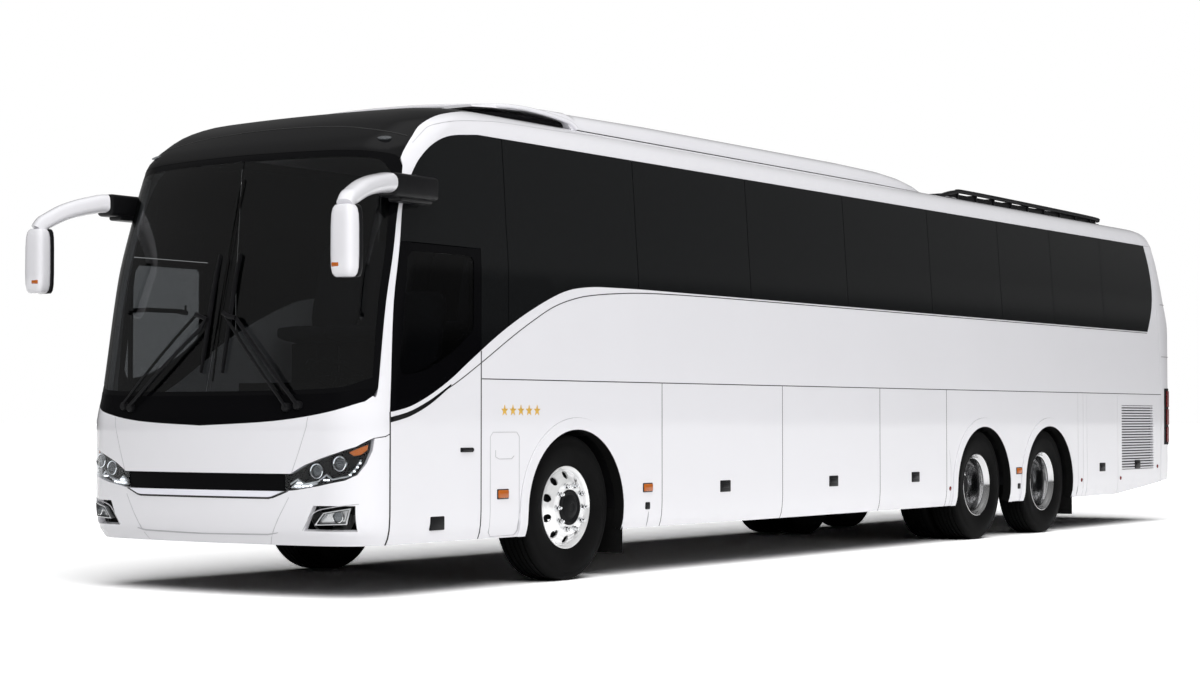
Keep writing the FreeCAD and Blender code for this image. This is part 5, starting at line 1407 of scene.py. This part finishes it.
# cushion, back and leg for one place; y is the front of the cushion and z the floor
def seatShapes(x0, x1, y, z):
    middle, half = (x0 + x1) / 2, (x1 - x0) / 2
    lean = math.atan2(0.165, 0.72)

    def flat(a, b, c):
        return Vector((middle + a, y + 0.222 + b, z + 0.358 + c - 0.03 * b / 0.22))

    def upright(a, b, c):
        return Vector((middle + a, y + 0.532 + b * math.sin(lean) - c * math.cos(lean),
                       z + 0.742 + b * math.cos(lean) + c * math.sin(lean)))

    cushion = pillow((half, 0.214, 0.05), 0.016, (-0.55, 0.55), flat)
    back = pillow((half, 0.368, 0.046), 0.014, (-0.55, 0.55), upright)
    leg = rounded((middle - half * 0.6, y + 0.13, z), (middle + half * 0.6, y + 0.37, z + 0.305), 0.012, 2)
    return cushion, back, leg


seating = {"rows": 13, "pitch": 0.8, "places": ((0.245, 0.702), (0.718, 1.175))}
deckZ, cabFloorZ = 1.42, 0.95
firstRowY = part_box("seats")[0][1]
for side, tag in sideName.items():
    cushions, backs, legs = [], [], []
    for row in range(seating["rows"]):
        y = firstRowY + row * seating["pitch"]
        for x0, x1 in seating["places"]:
            made = [onSide(side, shape) for shape in seatShapes(x0, x1, y, deckZ)]
            cushions.append(made[0])
            backs.append(made[1])
            legs.append(made[2])
    finishMesh(f"seat_cushions_{tag}", *joined(*cushions), fabric, "root", "seats", sharp=1.2)
    finishMesh(f"seat_backs_{tag}", *joined(*backs), fabric, "root", "seats", sharp=1.2)
    finishMesh(f"seat_legs_{tag}", *joined(*legs), blackSteel, "root", "seats")
low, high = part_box("driver_seat")
cushion, back, leg = seatShapes(low[0] + 0.004, high[0] - 0.004, low[1], cabFloorZ)
finishMesh("driver_seat_cushion", *cushion, fabric, "root", "driver_seat", sharp=1.2)
finishMesh("driver_seat_back", *back, fabric, "root", "driver_seat", sharp=1.2)
finishMesh("driver_seat_leg", *leg, blackSteel, "root", "driver_seat")
print("seats ready")

# dark linings that close the joints inside the glass
for side in (left, right):
    strip(f"lining_{sideName[side]}", alongSide(mm((-1400, 3085), (11200, 3085))), 0.14, blackSteel,
          lift=-0.035, thick=0.008, side=side)
strip("windscreen_joint", alongNose(mm((50, 1400), (50, 2760))), 0.01, rubber, lift=0.002)
print("linings ready")


# stage, lights and camera
def stagePiece(name, size, z, material):
    mesh = bpy.data.meshes.new(name)
    mesh.from_pydata([(-size, -size, z), (size, -size, z), (size, size, z), (-size, size, z)], [],
                     [(0, 1, 2, 3)])
    mesh.materials.append(material)
    obj = bpy.data.objects.new(name, mesh)
    bpy.context.scene.collection.objects.link(obj)
    return obj


studio = {
    "floor": 0.93,
    "floorSeen": (0.9, 1.95),    # as a base for bounced light, and as seen by the camera and mirrors
    "leaning": (0.42, -0.42, 1.0),    # where the dome is brightest
    "overhead": 2.9,
    "fills": (("front_fill", (7.0, -19.0, 6.0), (0.0, -6.5, 1.6), (10.0, 8.0), 850.0),
              ("side_fill", (19.0, -2.0, 6.0), (1.2, 0.5, 1.6), (24.0, 8.0), 1650.0)),
}
floorMaterial, tree, shader = nodeMaterial("studio_floor", grey(studio["floor"]), 0.9,
                                           Specular_IOR_Level=0.0)
floor = stagePiece("studio_floor", 400.0, 0.0, floorMaterial)

# the camera and mirrors see a brighter floor than the light that bounces off it
rays = added(tree, "LightPath")
seen = added(tree, "Math", (), {0: rays.outputs["Is Camera Ray"], 1: rays.outputs["Is Glossy Ray"]},
             "MAXIMUM")
shade = tree.nodes.new("ShaderNodeMix")
shade.data_type = "RGBA"
tree.links.new(seen.outputs["Value"], shade.inputs["Factor"])
for socket, value in zip((6, 7), studio["floorSeen"]):
    shade.inputs[socket].default_value = (*grey(value), 1.0)
tree.links.new(shade.outputs[2], shader.inputs["Base Color"])

# the world: white to the camera, brighter overhead than near the horizon to everything else
world = bpy.data.worlds.new("studio")
bpy.context.scene.world = world
world.use_nodes = True
tree = world.node_tree
background = tree.nodes["Background"]
background.inputs["Color"].default_value = (1.0, 1.0, 1.0, 1.0)
coords = added(tree, "TexCoord").outputs["Generated"]
parts = added(tree, "SeparateXYZ", (), {"Vector": coords})
brightest = Vector(studio["leaning"]).normalized()
leaning = added(tree, "VectorMath", {1: brightest}, {0: coords}, "DOT_PRODUCT")


# brightness through (place, brightness) stops
def ramped(stops, source):
    ramp = added(tree, "ValToRGB", (), {"Fac": source})
    ramp.color_ramp.interpolation = "EASE"
    while len(ramp.color_ramp.elements) < len(stops):
        ramp.color_ramp.elements.new(0.5)
    for element, (place, value) in zip(ramp.color_ramp.elements, stops):
        element.position, element.color = place, (value, value, value, 1.0)
    return ramp.outputs["Color"]


def chosen(factor, plain, other):
    pick = added(tree, "Mix", (), {0: factor})
    for socket, value in ((pick.inputs[2], plain), (pick.inputs[3], other)):
        if isinstance(value, float):
            socket.default_value = value
        else:
            tree.links.new(value, socket)
    return pick.outputs[0]


rays = added(tree, "LightPath")
dome = ramped([(0.0, 0.0), (0.76, 0.0), (0.96, 1.0)], leaning.outputs["Value"])
overhead = added(tree, "Math", {1: studio["overhead"]}, {0: dome}, "MULTIPLY")
spread = overhead.outputs["Value"]
mirrored = ramped([(0.0, 0.01), (0.03, 0.02), (0.045, 0.09), (0.13, 0.23), (0.55, 0.27), (0.82, 0.34),
                   (0.97, 0.8)], parts.outputs["Z"])
strength = chosen(rays.outputs["Is Glossy Ray"], spread, mirrored)
strength = chosen(rays.outputs["Is Camera Ray"], strength, 1.0)
tree.links.new(strength, background.inputs["Strength"])


def areaLight(name, place, target, size, power):
    light = bpy.data.lights.new(name, "AREA")
    light.shape, light.size, light.size_y, light.energy = "RECTANGLE", size[0], size[1], power
    obj = bpy.data.objects.new(name, light)
    obj.location = place
    obj.rotation_euler = (Vector(target) - Vector(place)).to_track_quat("-Z", "Y").to_euler()
    obj.visible_glossy = False
    bpy.context.scene.collection.objects.link(obj)
    return obj


# the fill lamps spare the floor, so that it keeps the shadow of the light from above
spared = bpy.data.collections.new("spared_by_fill")
spared.objects.link(floor)
spared.collection_objects[0].light_linking.link_state = "EXCLUDE"
for name, place, target, size, power in studio["fills"]:
    areaLight(name, place, target, size, power).light_linking.receiver_collection = spared

view = {"lens": 69.34, "place": (10.7423, -18.0692, 1.1581), "yaw": 0.5981943526, "pitch": 0.033636229}
camera = bpy.data.cameras.new("camera")
camera.lens, camera.sensor_width = view["lens"], 36.0
camera.clip_end = 500.0
cameraObject = bpy.data.objects.new("camera", camera)
cameraObject.location = view["place"]
yaw, pitch = view["yaw"], view["pitch"]
looking = Vector((-math.sin(yaw) * math.cos(pitch), math.cos(yaw) * math.cos(pitch), math.sin(pitch)))
cameraObject.rotation_euler = looking.to_track_quat("-Z", "Y").to_euler()
bpy.context.scene.collection.objects.link(cameraObject)
bpy.context.scene.camera = cameraObject

bpy.context.scene.view_settings.view_transform = "Standard"
print("stage ready")
